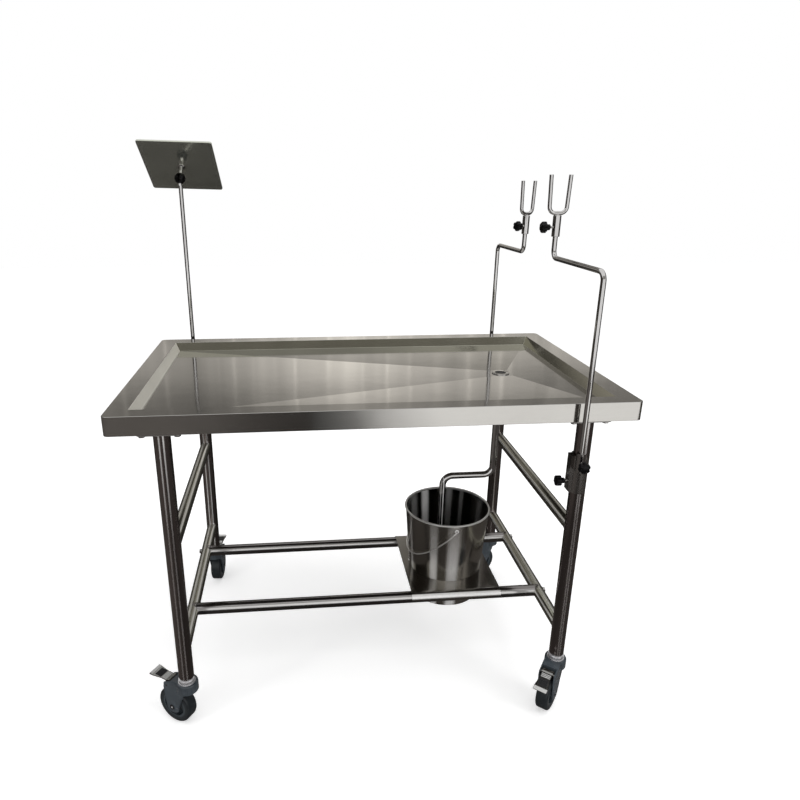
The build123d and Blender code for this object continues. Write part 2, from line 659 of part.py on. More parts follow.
# Star knob, modelled with its screw tip at the origin and its head towards +X


def star_knob(screw):
    """Black knob on a steel screw of a given length from its tip to the knob's neck."""
    head = screw + KNOB_NECK
    with BuildPart() as knob:
        with BuildSketch(Plane.XZ):
            with BuildLine():
                Polyline(
                    (0, 0),
                    (0, SCREW_R),
                    (screw, SCREW_R),
                    (screw, KNOB_NECK_R),
                    (head, KNOB_NECK_R + KNOB_DOME / 2),
                    (head, KNOB_R - KNOB_DOME / 2),
                    (head + KNOB_DOME / 2, KNOB_R),
                    (head + KNOB_HEAD - KNOB_DOME, KNOB_R),
                )
                ThreePointArc(
                    (head + KNOB_HEAD - KNOB_DOME, KNOB_R),
                    (head + KNOB_HEAD - KNOB_CROWN, KNOB_CROWN_R),
                    (head + KNOB_HEAD, 0),
                )
                Line((head + KNOB_HEAD, 0), (0, 0))
            make_face()
        revolve(axis=Axis.X)
        with Locations(Plane(origin=(head, 0, 0), z_dir=(1, 0, 0))):
            with PolarLocations(KNOB_R + KNOB_FLUTE_R - KNOB_FLUTE_DEPTH, KNOB_LOBES, KNOB_FLUTE_TURN):
                Cylinder(KNOB_FLUTE_R, 2 * KNOB_HEAD, mode=Mode.SUBTRACT)
    return knob.part


# Clamps: modelled on a leg at the origin, with the sleeve to +X; hand sets the side of the pad
SADDLE_R = LEG_R + SEAT + SADDLE_WALL
PAD_FACE = LEG_R + SADDLE_PAD
SLEEVE_SCREW_Z = SADDLE_Z + SLEEVE_RISE + SLEEVE_HEIGHT / 2


def clamp(hand):
    """Open saddle with a threaded pad, an arm that rises outwards, and a rod sleeve."""
    pad = Location((0, 0, 0), (0, 0, hand * KNOB_TURN))
    opening = hand * KNOB_TURN + 180
    reach = 2 * SADDLE_R
    with BuildPart() as saddle:
        with BuildSketch(Plane.XY.offset(SADDLE_Z)):
            Circle(SADDLE_R)
            with Locations(pad * Location((PAD_FACE / 2, 0, 0))):
                Rectangle(PAD_FACE, SADDLE_PAD_WIDTH)
            Circle(LEG_R + SEAT, mode=Mode.SUBTRACT)
            with BuildLine():
                edge = radians(SADDLE_OPEN / 2)
                middle = radians(opening)
                Polyline(
                    (0, 0),
                    (reach * cos(middle - edge), reach * sin(middle - edge)),
                    (reach * cos(middle), reach * sin(middle)),
                    (reach * cos(middle + edge), reach * sin(middle + edge)),
                    close=True,
                )
            make_face(mode=Mode.SUBTRACT)
        extrude(amount=SADDLE_HEIGHT)
        turn = radians(hand * KNOB_TURN)
        pad_axis = Axis((0, 0, 0), (cos(turn), sin(turn), 0))
        pad_face = saddle.faces().sort_by(pad_axis)[-1]
        chamfer(pad_face.edges().sort_by(Axis.Z)[0], SADDLE_PAD_CHAMFER / 2)
        with BuildSketch(Plane.XZ):
            with BuildLine():
                root = LEG_R + SEAT + SADDLE_WALL / 2
                Polyline(
                    (root, SADDLE_Z + ARM_RISE),
                    (SLEEVE_REACH, SADDLE_Z + SLEEVE_RISE),
                    (SLEEVE_REACH, SADDLE_Z + SLEEVE_RISE + SLEEVE_HEIGHT - ARM_THICKNESS / 2),
                    (root, SADDLE_Z + SADDLE_HEIGHT),
                    close=True,
                )
            make_face()
        extrude(amount=ARM_THICKNESS / 2, both=True)
        with Locations((SLEEVE_REACH, 0, SADDLE_Z + SLEEVE_RISE)):
            Cylinder(SLEEVE_R, SLEEVE_HEIGHT, align=ABOVE)
            Cylinder(ROD_R + FIT, 2 * SLEEVE_HEIGHT, mode=Mode.SUBTRACT)
        sleeve = Location((SLEEVE_REACH, 0, SLEEVE_SCREW_Z), (0, 0, -hand * SLEEVE_KNOB_TURN))
        with Locations(sleeve * Location((0, 0, 0), (0, 90, 0))):
            Cylinder(SCREW_R + FIT, 2 * SLEEVE_R, align=ABOVE, mode=Mode.SUBTRACT)
        with Locations(pad * Location((0, 0, SADDLE_Z + SADDLE_KNOB_RISE), (0, 90, 0))):
            Cylinder(SCREW_R + FIT, 2 * PAD_FACE, align=ABOVE, mode=Mode.SUBTRACT)
    return saddle.part


CLAMPS = {
    "front_right": (1, -1, FRONT_CLAMP_ANGLE, -1),
    "rear_right": (1, 1, RIGHT_CLAMP_ANGLE, 1),
    "rear_left": (-1, 1, LEFT_CLAMP_ANGLE, 1),
}
sleeve_screw = SLEEVE_R - ROD_R - SEAT + SCREW_SHOW
saddle_screw = SADDLE_PAD - SEAT + SCREW_SHOW
rod_places = {}
for name, (side_x, side_y, angle, hand) in CLAMPS.items():
    spot = Location((side_x * LEG_X, side_y * LEG_Y, 0), (0, 0, angle))
    place(clamp(hand), f"clamp_saddle_{name}", spot)
    sleeve = Location((SLEEVE_REACH, 0, SLEEVE_SCREW_Z), (0, 0, -hand * SLEEVE_KNOB_TURN))
    tip = Location((ROD_R + SEAT, 0, 0))
    place(star_knob(sleeve_screw), f"rod_knob_{name}", spot * sleeve * tip)
    turned = Location((0, 0, 0), (0, 0, hand * KNOB_TURN))
    tip = Location((LEG_R + SEAT, 0, SADDLE_Z + SADDLE_KNOB_RISE))
    place(star_knob(saddle_screw), f"saddle_knob_{name}", spot * turned * tip)
    rod_places[name] = (
        side_x * LEG_X + SLEEVE_REACH * cos(radians(angle)),
        side_y * LEG_Y + SLEEVE_REACH * sin(radians(angle)),
    )

# Cranked rods: up from the clamp, in over the table, and up again into the fork's sleeve
ROD_FOOT = SADDLE_Z + SLEEVE_RISE - ROD_TAIL
FORK_TOP = FORK_RISE + FORK_SLEEVE


def cranked_rod(reach, height):
    """Rod with two bends about its own axis; reach is the length of its level part, towards +Y."""
    with BuildPart() as rod:
        with BuildLine() as rod_line:
            FilletPolyline(
                (0, 0, ROD_FOOT),
                (0, 0, height),
                (0, reach, height),
                (0, reach, height + FORK_TOP - FORK_SLEEVE_CAP - SEAT),
                radius=CRANK_BEND,
            )
        with BuildSketch(Plane(origin=rod_line.line @ 0, z_dir=rod_line.line % 0)):
            Circle(ROD_R)
        sweep()
    return rod.part


# Limb fork, modelled with the top of its sleeve at the origin and the prongs in the XZ plane
with BuildPart() as limb_fork:
    with BuildLine() as prong_line:
        FilletPolyline(
            (-PRONG_GAP / 2 - PRONG_FLARE, 0, PRONG_HEIGHT),
            (-PRONG_GAP / 2, 0, PRONG_R),
            (PRONG_GAP / 2, 0, PRONG_R),
            (PRONG_GAP / 2 + PRONG_FLARE, 0, PRONG_HEIGHT),
            radius=PRONG_BEND,
        )
    with BuildSketch(Plane(origin=prong_line.line @ 0, z_dir=prong_line.line % 0)):
        Circle(PRONG_R)
    sweep()
    fillet(limb_fork.edges().filter_by(GeomType.CIRCLE).sort_by(Axis.Z)[-2:], PRONG_TIP)
    Cylinder(FORK_SLEEVE_R, FORK_SLEEVE, align=BELOW)
    Cylinder(FORK_SLEEVE_R / 2, PRONG_R, align=ABOVE)
    with Locations((0, 0, -FORK_SLEEVE_CAP)):
        Cylinder(ROD_R + FIT, FORK_SLEEVE, align=BELOW, mode=Mode.SUBTRACT)
    with Locations((0, 0, FORK_KNOB_RISE - FORK_SLEEVE)):
        Cylinder(SCREW_R + FIT, 2 * FORK_SLEEVE_R, rotation=(0, -90, 0), align=ABOVE, mode=Mode.SUBTRACT)

fork_screw = FORK_SLEEVE_R - ROD_R - SEAT + SCREW_SHOW
CRANKS = {
    "front_right": (FRONT_CRANK_TURN, FRONT_CRANK, FRONT_CRANK_Z, 0),
    "rear_right": (REAR_CRANK_TURN, REAR_CRANK, REAR_CRANK_Z, REAR_FORK_TURN),
}
for name, (crank_turn, reach, height, fork_turn) in CRANKS.items():
    x, y = rod_places[name]
    spot = Location((x, y, 0), (0, 0, crank_turn))
    place(cranked_rod(reach, height), f"cranked_rod_{name}", spot)
    spot = spot * Location((0, reach, height + FORK_TOP), (0, 0, fork_turn - crank_turn))
    place(limb_fork.part, f"limb_fork_{name}", spot)
    tip = Location((-ROD_R - SEAT, 0, FORK_KNOB_RISE - FORK_SLEEVE), (0, 0, 180))
    place(star_knob(fork_screw), f"fork_knob_{name}", spot * tip)

# Board rod: straight, its top milled to a tongue with an eye for the ball's pin
with BuildPart() as board_rod:
    with Locations((0, 0, ROD_FOOT)):
        Cylinder(ROD_R, BALL_Z - TONGUE_SHOULDER - ROD_FOOT, align=ABOVE)
    with Locations((0, 0, BALL_Z)):
        Box(TONGUE, 2 * ROD_R - 2 * SEAT, TONGUE_SHOULDER, align=BELOW)
        Cylinder(TONGUE_R, TONGUE, rotation=(0, 90, 0))
        Cylinder(BALL_PIN_R + FIT, 2 * TONGUE, rotation=(0, 90, 0), mode=Mode.SUBTRACT)
rod_spot = Location((*rod_places["rear_left"], 0), (0, 0, BOARD_TURN))
place(board_rod.part, "board_rod", rod_spot)

# Ball: black, slotted from below over the tongue, with a cross pin and a socket for the stem
with BuildPart() as ball:
    Sphere(BALL_R)
    with Locations((0, 0, BALL_ROOF)):
        Box(BALL_SLOT, 2 * BALL_R, 2 * BALL_R, align=BELOW, mode=Mode.SUBTRACT)
    with Locations((0, 0, STEM_SEAT)):
        Cylinder(STEM_R + FIT, BALL_R, align=ABOVE, mode=Mode.SUBTRACT)
    Cylinder(BALL_PIN_R, BALL_R, rotation=(0, 90, 0))
ball_spot = rod_spot * Location((0, 0, BALL_Z), (-BOARD_TILT, 0, 0))
place(ball.part, "ball_joint", ball_spot)

# Board: a square plate with turned-up edges, welded to the chrome stem
BOARD_INSIDE = BOARD_SIZE - 2 * BOARD_SHEET
with BuildPart() as board:
    with BuildSketch(Plane.XY.offset(STEM_REACH)):
        RectangleRounded(BOARD_SIZE, BOARD_SIZE, BOARD_CORNER)
    extrude(amount=BOARD_LIP)
    with BuildSketch(Plane.XY.offset(STEM_REACH + BOARD_SHEET)):
        RectangleRounded(BOARD_INSIDE, BOARD_INSIDE, BOARD_CORNER - BOARD_SHEET)
    extrude(amount=BOARD_LIP, mode=Mode.SUBTRACT)
    with Locations((0, 0, STEM_REACH)):
        Cylinder(STEM_COLLAR_R, STEM_COLLAR, align=BELOW)
        Cylinder(STEM_R, STEM_REACH - STEM_SEAT - SEAT, align=BELOW)
place(board.part, "instrument_board", ball_spot * Location((0, 0, 0), (0, 0, BOARD_SPIN)))

# The finished pieces are moved so that the origin is on the floor under the middle of the whole set
whole = Compound(children=[piece.moved(Location((0, 0, 0))) for piece in pieces]).bounding_box()
home = Location((-whole.center().X, -whole.center().Y, 0))
for piece in pieces:
    name = piece.label
    piece = piece.moved(home)
    piece.label = name
    export_step(piece, f"parts/{name}.step")
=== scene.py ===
from math import cos, degrees, pi, radians, sin, sqrt

import bmesh
import bpy
from mathutils import Matrix, Vector


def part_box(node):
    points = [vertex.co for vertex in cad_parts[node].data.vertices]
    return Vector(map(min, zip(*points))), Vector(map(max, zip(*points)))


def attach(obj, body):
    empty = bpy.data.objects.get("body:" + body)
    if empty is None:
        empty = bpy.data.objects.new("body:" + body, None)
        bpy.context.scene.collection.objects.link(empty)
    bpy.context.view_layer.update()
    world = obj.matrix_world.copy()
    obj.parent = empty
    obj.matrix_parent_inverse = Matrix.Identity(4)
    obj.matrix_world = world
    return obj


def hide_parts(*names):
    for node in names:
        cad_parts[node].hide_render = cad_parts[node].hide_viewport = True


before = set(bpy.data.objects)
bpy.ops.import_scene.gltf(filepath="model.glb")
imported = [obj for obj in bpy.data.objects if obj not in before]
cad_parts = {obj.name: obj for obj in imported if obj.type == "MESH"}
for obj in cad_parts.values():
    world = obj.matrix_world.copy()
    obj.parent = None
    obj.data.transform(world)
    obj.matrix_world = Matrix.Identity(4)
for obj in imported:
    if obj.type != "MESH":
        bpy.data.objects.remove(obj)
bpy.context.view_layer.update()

scene = bpy.context.scene


# Photographer's set: a pale floor that runs out to a white background, soft light from above, and
# cloths, flags and a reflector that only the polished steel sees, so that it reads as steel. The
# camera stands before the long side, about half a metre above the table top.
top_low, top_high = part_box("table_top")
MIDDLE = (top_low + top_high) / 2
TABLE = Matrix.Translation((MIDDLE.x, MIDDLE.y, 0))

LENS_PIXELS, LENS_X, LENS_Y, FRAME_PIXELS = 645.2988, 358.5825, 404.2507, 800
YAW, PITCH, ROLL = radians(5.63267), radians(-19.16880), radians(0.26804)
CAMERA_SPOT = Vector((-0.183219, -1.665660, 1.337979))
ahead = Vector((sin(YAW) * cos(PITCH), cos(YAW) * cos(PITCH), sin(PITCH)))
level = Vector((cos(YAW), -sin(YAW), 0))
upright = level.cross(ahead)
right = level * cos(ROLL) + upright * sin(ROLL)
above = upright * cos(ROLL) - level * sin(ROLL)
camera = bpy.data.objects.new("camera", bpy.data.cameras.new("camera"))
camera.data.sensor_width = 36
camera.data.lens = LENS_PIXELS / FRAME_PIXELS * camera.data.sensor_width
camera.data.shift_x = (FRAME_PIXELS / 2 - LENS_X) / FRAME_PIXELS
camera.data.shift_y = (LENS_Y - FRAME_PIXELS / 2) / FRAME_PIXELS
camera.data.clip_end = 60
turn = Matrix((right, above, -ahead)).transposed().to_4x4()
camera.matrix_world = Matrix.Translation(TABLE @ CAMERA_SPOT) @ turn
scene.collection.objects.link(camera)
scene.camera = camera
scene.view_settings.view_transform = "Standard"


class Signal:
    """One socket of a finish: a sum written with it adds the Math nodes for that sum."""

    def __init__(self, finish, socket):
        self.finish, self.socket = finish, socket

    def maths(self, operation, first, second):
        return self.finish.node("ShaderNodeMath", {"operation": operation}, {0: first, 1: second})

    def __add__(self, other):
        return self.maths("ADD", self, other)

    def __sub__(self, other):
        return self.maths("SUBTRACT", self, other)

    def __mul__(self, other):
        return self.maths("MULTIPLY", self, other)


class Finish:
    """A finish on one material or on the world, with its nodes asked for by their type."""

    def __init__(self, owner):
        self.owner = owner
        owner.use_nodes = True
        self.tree = owner.node_tree
        self.tree.nodes.clear()

    def node(self, kind, settings, sockets, output=0):
        made = self.tree.nodes.new(kind)
        for key, value in settings.items():
            if key == "stops":
                for stop, (place, colour) in zip(
                    [made.color_ramp.elements[0]]
                    + [made.color_ramp.elements.new(0.5) for _ in value[2:]]
                    + [made.color_ramp.elements[-1]],
                    value,
                ):
                    stop.position, stop.color = place, (*colour, 1)
            else:
                setattr(made, key, value)
        for key, value in sockets.items():
            if isinstance(value, Signal):
                self.tree.links.new(value.socket, made.inputs[key])
            else:
                made.inputs[key].default_value = value
        return Signal(self, made.outputs[output])

    def end(self, kind, surface):
        last = self.tree.nodes.new(kind)
        self.tree.links.new(surface.socket, last.inputs["Surface"])


def seen_rays(finish):
    """1 on rays that make the picture, directly, in a reflection or through something, 0 on plain light."""
    seen, glossy, through = (
        finish.node("ShaderNodeLightPath", {}, {}, f"Is {kind} Ray")
        for kind in ("Camera", "Glossy", "Transmission")
    )
    return seen.maths("MAXIMUM", seen, glossy + through)


def surface(finish, sockets):
    """End a finish in one Principled surface and give its material."""
    finish.end("ShaderNodeOutputMaterial", finish.node("ShaderNodeBsdfPrincipled", {}, sockets))
    return finish.owner


def flat_card(name, half, material):
    """A flat square of the set, which is half as wide each way from its middle."""
    shape = bmesh.new()
    bmesh.ops.create_grid(shape, x_segments=1, y_segments=1, size=half)
    mesh = bpy.data.meshes.new(name)
    shape.to_mesh(mesh)
    shape.free()
    mesh.materials.append(material)
    made = bpy.data.objects.new(name, mesh)
    scene.collection.objects.link(made)
    return made


DOME_STRENGTH, FLOOR_GLOW, FLOOR_HALF, FLOOR_DROP = 0.62, 0.45, 9, 0.0008
sky = Finish(scene.world or bpy.data.worlds.new("sky"))
scene.world = sky.owner
white = sky.node("ShaderNodeBackground", {}, {"Color": (1, 1, 1, 1), "Strength": 1})
dome = sky.node("ShaderNodeBackground", {}, {"Color": (1, 1, 1, 1), "Strength": DOME_STRENGTH})
sky.end("ShaderNodeOutputWorld", sky.node("ShaderNodeMixShader", {}, {0: seen_rays(sky), 1: dome, 2: white}))

pale = Finish(bpy.data.materials.new("pale_floor"))
where = pale.node("ShaderNodeTexCoord", {}, {}, "Object")
mottle = pale.node("ShaderNodeTexNoise", {}, {"Vector": where, "Scale": 3.0, "Detail": 4.0}, "Fac")
pale_floor = surface(
    pale,
    {
        "Base Color": (0.93, 0.93, 0.93, 1),
        "Roughness": mottle * 0.1 + 0.7,
        "Emission Color": (1, 1, 1, 1),
        "Emission Strength": seen_rays(pale) * FLOOR_GLOW,
    },
)
floor = flat_card("floor", FLOOR_HALF, pale_floor)
floor.location.z = -FLOOR_DROP

for name, spot, size, power in (
    ("overhead_softbox", (0.3, -0.3, 3.2), (2.6, 1.6), 34),
    ("right_softbox", (2.6, -1.9, 2.0), (1.1, 1.8), 26),
    ("left_strip", (-2.3, -1.6, 1.7), (0.35, 1.7), 9),
):
    lamp = bpy.data.objects.new(name, bpy.data.lights.new(name, "AREA"))
    lamp.data.shape, lamp.data.size, lamp.data.size_y = "RECTANGLE", *size
    lamp.data.energy = power
    lamp.location = spot
    lamp.visible_camera = lamp.visible_glossy = False
    lamp.rotation_euler = (Vector((0, 0, 0.7)) - Vector(spot)).to_track_quat("-Z", "Y").to_euler()
    scene.collection.objects.link(lamp)


def flag(name, place, wide, tall, colour, up=((0, 1), (1, 1)), across=((0, 1), (1, 1)), folds=0.0):
    """A photographer's flag, cloth or reflector that only polished metal sees. Its shade changes up and
    across the card, and its folds are soft stripes that hang down it."""
    card = Finish(bpy.data.materials.new(name))
    spot = card.node("ShaderNodeTexCoord", {}, {}, "Object")
    shades = []
    for axis, stops in (("X", across), ("Y", up)):
        share = card.node("ShaderNodeSeparateXYZ", {}, {"Vector": spot}, axis) + 0.5
        ramp = [(at, (value / 2,) * 3) for at, value in stops]
        shades.append(card.node("ShaderNodeValToRGB", {"stops": ramp}, {"Fac": share}) * 2)
    hanging = []
    for close, detail in ((5, 4.0), (13, 3.0)):
        run = card.node("ShaderNodeMapping", {}, {"Vector": spot, "Scale": (wide * close, tall * 0.1, 1)})
        sockets = {"Vector": run, "Scale": 1.0, "Detail": detail}
        hanging.append(card.node("ShaderNodeTexNoise", {}, sockets, "Fac"))
    lit = card.node("ShaderNodeMapRange", {}, {"Value": hanging[1], 1: 0.58, 2: 0.72, 3: 0.0, 4: 1.1})
    level = shades[0] * shades[1] * ((hanging[0] + lit) * folds + (1 - folds / 2))
    card.end(
        "ShaderNodeOutputMaterial",
        card.node("ShaderNodeEmission", {}, {"Color": (*colour, 1), "Strength": level}),
    )
    one = flat_card(name, 0.5, card.owner)
    one.matrix_world = place @ Matrix.Diagonal((wide, tall, 1, 1))
    one.visible_camera = one.visible_diffuse = one.visible_shadow = one.visible_transmission = False


stand = Matrix.Rotation(pi / 2, 4, "X")
side_on = Matrix.Rotation(pi / 2, 4, "Z") @ stand
flag(
    "rear_cloth", Matrix.Translation((0, 4.0, 1.9)) @ stand, 7.2, 3.8, (1.04, 0.99, 0.91),
    up=(
        (0, 0.10), (0.40, 0.10), (0.44, 0.75), (0.47, 1.0), (0.53, 0.85), (0.57, 0.58), (0.61, 0.40),
        (1, 0.22),
    ),
    across=(
        (0, 0.62), (0.22, 0.58), (0.30, 0.46), (0.36, 0.42), (0.42, 0.60), (0.48, 0.80), (0.54, 1.04),
        (0.60, 0.87), (0.67, 0.73), (0.76, 0.62), (1, 0.55),
    ),
    folds=0.9,
)
flag("left_flag", Matrix.Translation((-3.6, 0.0, 1.6)) @ side_on, 8.0, 3.2, (0.055, 0.050, 0.045))
flag("right_flag", Matrix.Translation((3.6, 0.8, 1.6)) @ side_on, 6.4, 3.2, (0.07, 0.066, 0.063))
flag("front_canopy", Matrix.Translation((0, -3.4, 3.6)) @ stand, 5.0, 2.6, (0.26, 0.25, 0.23))
flag(
    "floor_cloth", Matrix.Translation((0, 0.05, 0.0004)), 7.2, 7.9, (0.115, 0.105, 0.098),
    up=((0, 1), (0.50, 1), (0.58, 0.4), (1, 0.35)),
    across=(
        (0, 1.0), (0.30, 1.3), (0.37, 1.3), (0.41, 1.0), (0.464, 0.5), (0.509, 0.5), (0.553, 0.8), (1, 0.7)
    ),
)
flag(
    "front_reflector", Matrix.Translation((1.225, -2.95, 0.003)), 2.65, 1.5, (1.16, 1.15, 1.13),
    across=((0, 0.06), (0.05, 0.14), (0.094, 0.22), (0.17, 0.66), (0.29, 1), (1, 1)),
)


# Table top: one sheet of stainless steel, folded at the rim into an apron with a return lip and
# pressed into a basin whose floor falls to the drain well. The folds are welded and ground at the
# corners, the outside is polished along its length and the basin is left with a finer satin grain.
LENGTH, WIDTH, HEIGHT, SHEET = 1.2, 0.7, 0.865, 0.0015
APRON, APRON_CORNER, LIP = 0.045, 0.012, 0.015
RIM_END, RIM_SIDE, BEVEL_RUN, BEVEL_DROP, FLOOR_FALL = 0.048, 0.044, 0.012, 0.024, 0.005
DRAIN_X, WELL, TAIL_R, BORE_GAP = 0.374, 0.054, 0.0165, 0.0004
DRAIN_Z = HEIGHT - BEVEL_DROP - FLOOR_FALL


def grain(finish, along, fine):
    """Height of polishing lines that run one way over a sheet or round a tube."""
    where = finish.node("ShaderNodeTexCoord", {}, {}, "Object")
    run = [fine * 0.015 if axis == along else fine for axis in "XYZ"]
    stretched = finish.node("ShaderNodeMapping", {}, {"Vector": where, "Scale": run})
    sockets = {"Vector": stretched, "Scale": 1.0, "Detail": 3.0, "Roughness": 0.6}
    return finish.node("ShaderNodeTexNoise", {}, sockets, "Fac")


def cloudy(finish, scale, detail=5.0):
    """Slow unevenness, such as handling smears on polished steel."""
    where = finish.node("ShaderNodeTexCoord", {}, {}, "Object")
    sockets = {"Vector": where, "Scale": scale, "Detail": detail, "Roughness": 0.55}
    return finish.node("ShaderNodeTexNoise", {}, sockets, "Fac")


def stripe(finish, centre, way, width):
    """The mask of a painted glint: a band that runs along a tube or a wall, 1 on the side that faces one way
    from the middle, 0 beyond its width in degrees. The middle is (x, y, z) with None along the tube."""
    where = finish.node("ShaderNodeTexCoord", {}, {}, "Object")
    mask = tuple(0.0 if value is None else 1.0 for value in centre)
    middle = tuple(value or 0.0 for value in centre)
    spoke = finish.node("ShaderNodeVectorMath", {"operation": "SUBTRACT"}, {0: where, 1: middle})
    flat = finish.node("ShaderNodeVectorMath", {"operation": "MULTIPLY"}, {0: spoke, 1: mask})
    unit = finish.node("ShaderNodeVectorMath", {"operation": "NORMALIZE"}, {0: flat})
    toward = finish.node("ShaderNodeVectorMath", {"operation": "DOT_PRODUCT"}, {0: unit, 1: way}, "Value")
    soft = {"interpolation_type": "SMOOTHSTEP"}
    return finish.node("ShaderNodeMapRange", soft, {"Value": toward, 1: cos(radians(width)), 2: 1.0})


def along_piece(finish, axis, start, end, low):
    """A share that changes along the piece, from low at the start to 1 at the end."""
    where = finish.node("ShaderNodeTexCoord", {}, {}, "Object")
    run = finish.node("ShaderNodeSeparateXYZ", {}, {"Vector": where}, axis)
    return finish.node("ShaderNodeMapRange", {}, {"Value": run, 1: start, 2: end, 3: low, 4: 1.0})


def mixed(finish, share, first, second):
    """A colour between two others, of which the first may come from a node."""
    colours = {6: first if isinstance(first, Signal) else (*first, 1), 7: (*second, 1)}
    return finish.node("ShaderNodeMix", {"data_type": "RGBA"}, {0: share, **colours}, 2)


# The pale colour of the painted glints, and the share that a climbing glint starts from.
PAINTED_GLINT_COLOUR, FAINT = (0.92, 0.91, 0.90), 0.3


def steel(name, dark, bright, smooth, rough, along, fine, wave, stripes=(), fade=None, metal=1.0):
    """Stainless steel: two tones in soft clouds and polishing lines, smears in its gloss, and the slight
    waviness that makes its reflections run. Stripes (middle, way, width, strength) are painted glints: bands
    mixed towards a pale colour and made less metallic, standing for light reflected off the steel, with a
    climb (axis, start, end) if they grow from faint to full along the piece. A fade (axis, start, end, share)
    is painted shade that darkens the steel towards its start, and a low metal is steel with a blasted face,
    which on some pieces carries painted light."""
    finish = Finish(bpy.data.materials.new(name))
    lines = grain(finish, along, fine) * 0.6 + grain(finish, along, fine * 0.2) * 0.4
    smear = cloudy(finish, 7.0)
    ripple = cloudy(finish, 16.0, 1.0)
    tone = mixed(finish, smear * 0.6 + lines * 0.5 - 0.05, dark, bright)
    if fade:
        light = along_piece(finish, *fade)
        tone = finish.node("ShaderNodeVectorMath", {"operation": "MULTIPLY"}, {0: tone, 1: light})
    # Each stripe is a painted highlight: the tone goes towards the pale glint colour and the metal drops.
    for middle, way, width, strength, *climb in stripes:
        band = stripe(finish, middle, way, width) * (lines * 0.5 + 0.75)
        if climb:
            band = band * along_piece(finish, *climb[0], FAINT)
        tone = mixed(finish, band * min(strength * 1.5, 1.0), tone, PAINTED_GLINT_COLOUR)
        metal = band * -strength + metal
    bump = finish.node("ShaderNodeBump", {}, {"Height": ripple, "Strength": wave, "Distance": 0.001})
    return surface(
        finish,
        {
            "Base Color": tone,
            "Metallic": metal,
            "Roughness": smear * (rough - smooth) + lines * 0.04 + (smooth - 0.02),
            "Normal": bump,
        },
    )


def build(shape, name, material, body, stands_for, crisp=35, soft=0.0):
    """Make a shape into a piece that rides on its body: crisp is the angle from which an edge stays sharp,
    soft the width to which the remaining edges are rounded."""
    mesh = bpy.data.meshes.new(name)
    shape.edges.index_update()
    open_edges = [edge.index for edge in shape.edges if edge.is_boundary]
    shape.to_mesh(mesh)
    shape.free()
    mesh.shade_smooth()
    mesh.set_sharp_from_angle(angle=radians(crisp))
    for number in open_edges:
        mesh.edges[number].use_edge_sharp = True
    piece = bpy.data.objects.new(name, mesh)
    scene.collection.objects.link(piece)
    for one in material if isinstance(material, (list, tuple)) else (material,):
        mesh.materials.append(one)
    if soft:
        rounding = piece.modifiers.new("rounded_edges", "BEVEL")
        rounding.width, rounding.segments, rounding.limit_method = soft, 2, "ANGLE"
        rounding.angle_limit = radians(crisp)
        rounding.harden_normals = True
    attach(piece, body)
    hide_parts(*stands_for)
    return piece


def thicken(piece, thickness, fold=0.0, rounds=2, crisp=35):
    """Give a sheet or a tube its wall, inwards from the outer face, and round the sheet's folds."""
    wall = piece.modifiers.new("wall", "SOLIDIFY")
    wall.thickness, wall.offset = thickness, -1
    if fold:
        folds = piece.modifiers.new("folds", "BEVEL")
        folds.width, folds.segments, folds.limit_method = fold, rounds, "ANGLE"
        folds.angle_limit = radians(crisp)


def loop_of(shape, length, width, height, corner=0.0):
    """A level rectangle of open edges, with rounded corners where the sheet has them."""
    made = bmesh.ops.create_grid(shape, x_segments=1, y_segments=1, size=0.5)["verts"]
    place = Matrix.Translation((0, 0, height)) @ Matrix.Diagonal((length, width, 1, 1))
    bmesh.ops.transform(shape, verts=made, matrix=place)
    inside = made[0].link_faces[0]
    if corner:
        bmesh.ops.bevel(
            shape, geom=made, offset=corner, offset_type="OFFSET", segments=8, profile=0.5,
            affect="VERTICES", material=-1,
        )
        inside = [face for face in shape.faces if abs(face.calc_center_median().z - height) < 1e-6][-1]
    edges = list(inside.edges)
    bmesh.ops.delete(shape, geom=[inside], context="FACES_ONLY")
    return edges


def carry_on(shape, edges, matrix):
    """Extrude open edges and move the new ones: the next fold of a sheet."""
    new = bmesh.ops.extrude_edge_only(shape, edges=edges)["geom"]
    verts = [item for item in new if isinstance(item, bmesh.types.BMVert)]
    bmesh.ops.transform(shape, verts=verts, matrix=matrix)
    return [item for item in new if isinstance(item, bmesh.types.BMEdge) and len(item.link_faces) == 1]


def circle_of(shape, segments, radius, matrix):
    """A circle of open edges."""
    verts = bmesh.ops.create_circle(shape, segments=segments, radius=radius, matrix=matrix)["verts"]
    return list({edge for vert in verts for edge in vert.link_edges})


def move_shape(shape, matrix):
    """Move a whole shape to its place."""
    bmesh.ops.transform(shape, matrix=matrix, verts=shape.verts)


sheet = bmesh.new()
outer = loop_of(sheet, LENGTH, WIDTH, HEIGHT, APRON_CORNER)
inner = loop_of(sheet, LENGTH - 2 * RIM_END, WIDTH - 2 * RIM_SIDE, HEIGHT)
hem = carry_on(sheet, outer, Matrix.Translation((0, 0, -APRON)))
carry_on(sheet, hem, Matrix.Diagonal((1 - 2 * LIP / LENGTH, 1 - 2 * LIP / WIDTH, 1, 1)))
bmesh.ops.bridge_loops(sheet, edges=outer + inner)
foot_length, foot_width = LENGTH - 2 * (RIM_END + BEVEL_RUN), WIDTH - 2 * (RIM_SIDE + BEVEL_RUN)
slope = carry_on(
    sheet,
    inner,
    Matrix.Translation((0, 0, -BEVEL_DROP))
    @ Matrix.Diagonal((foot_length / (LENGTH - 2 * RIM_END), foot_width / (WIDTH - 2 * RIM_SIDE), 1, 1)),
)
well = carry_on(
    sheet,
    slope,
    Matrix.Translation((DRAIN_X, 0, -FLOOR_FALL))
    @ Matrix.Diagonal((WELL / foot_length, WELL / foot_width, 1, 1)),
)
bore = circle_of(sheet, 48, TAIL_R + BORE_GAP, Matrix.Translation((DRAIN_X, 0, DRAIN_Z)))
bmesh.ops.bridge_loops(sheet, edges=well + bore)
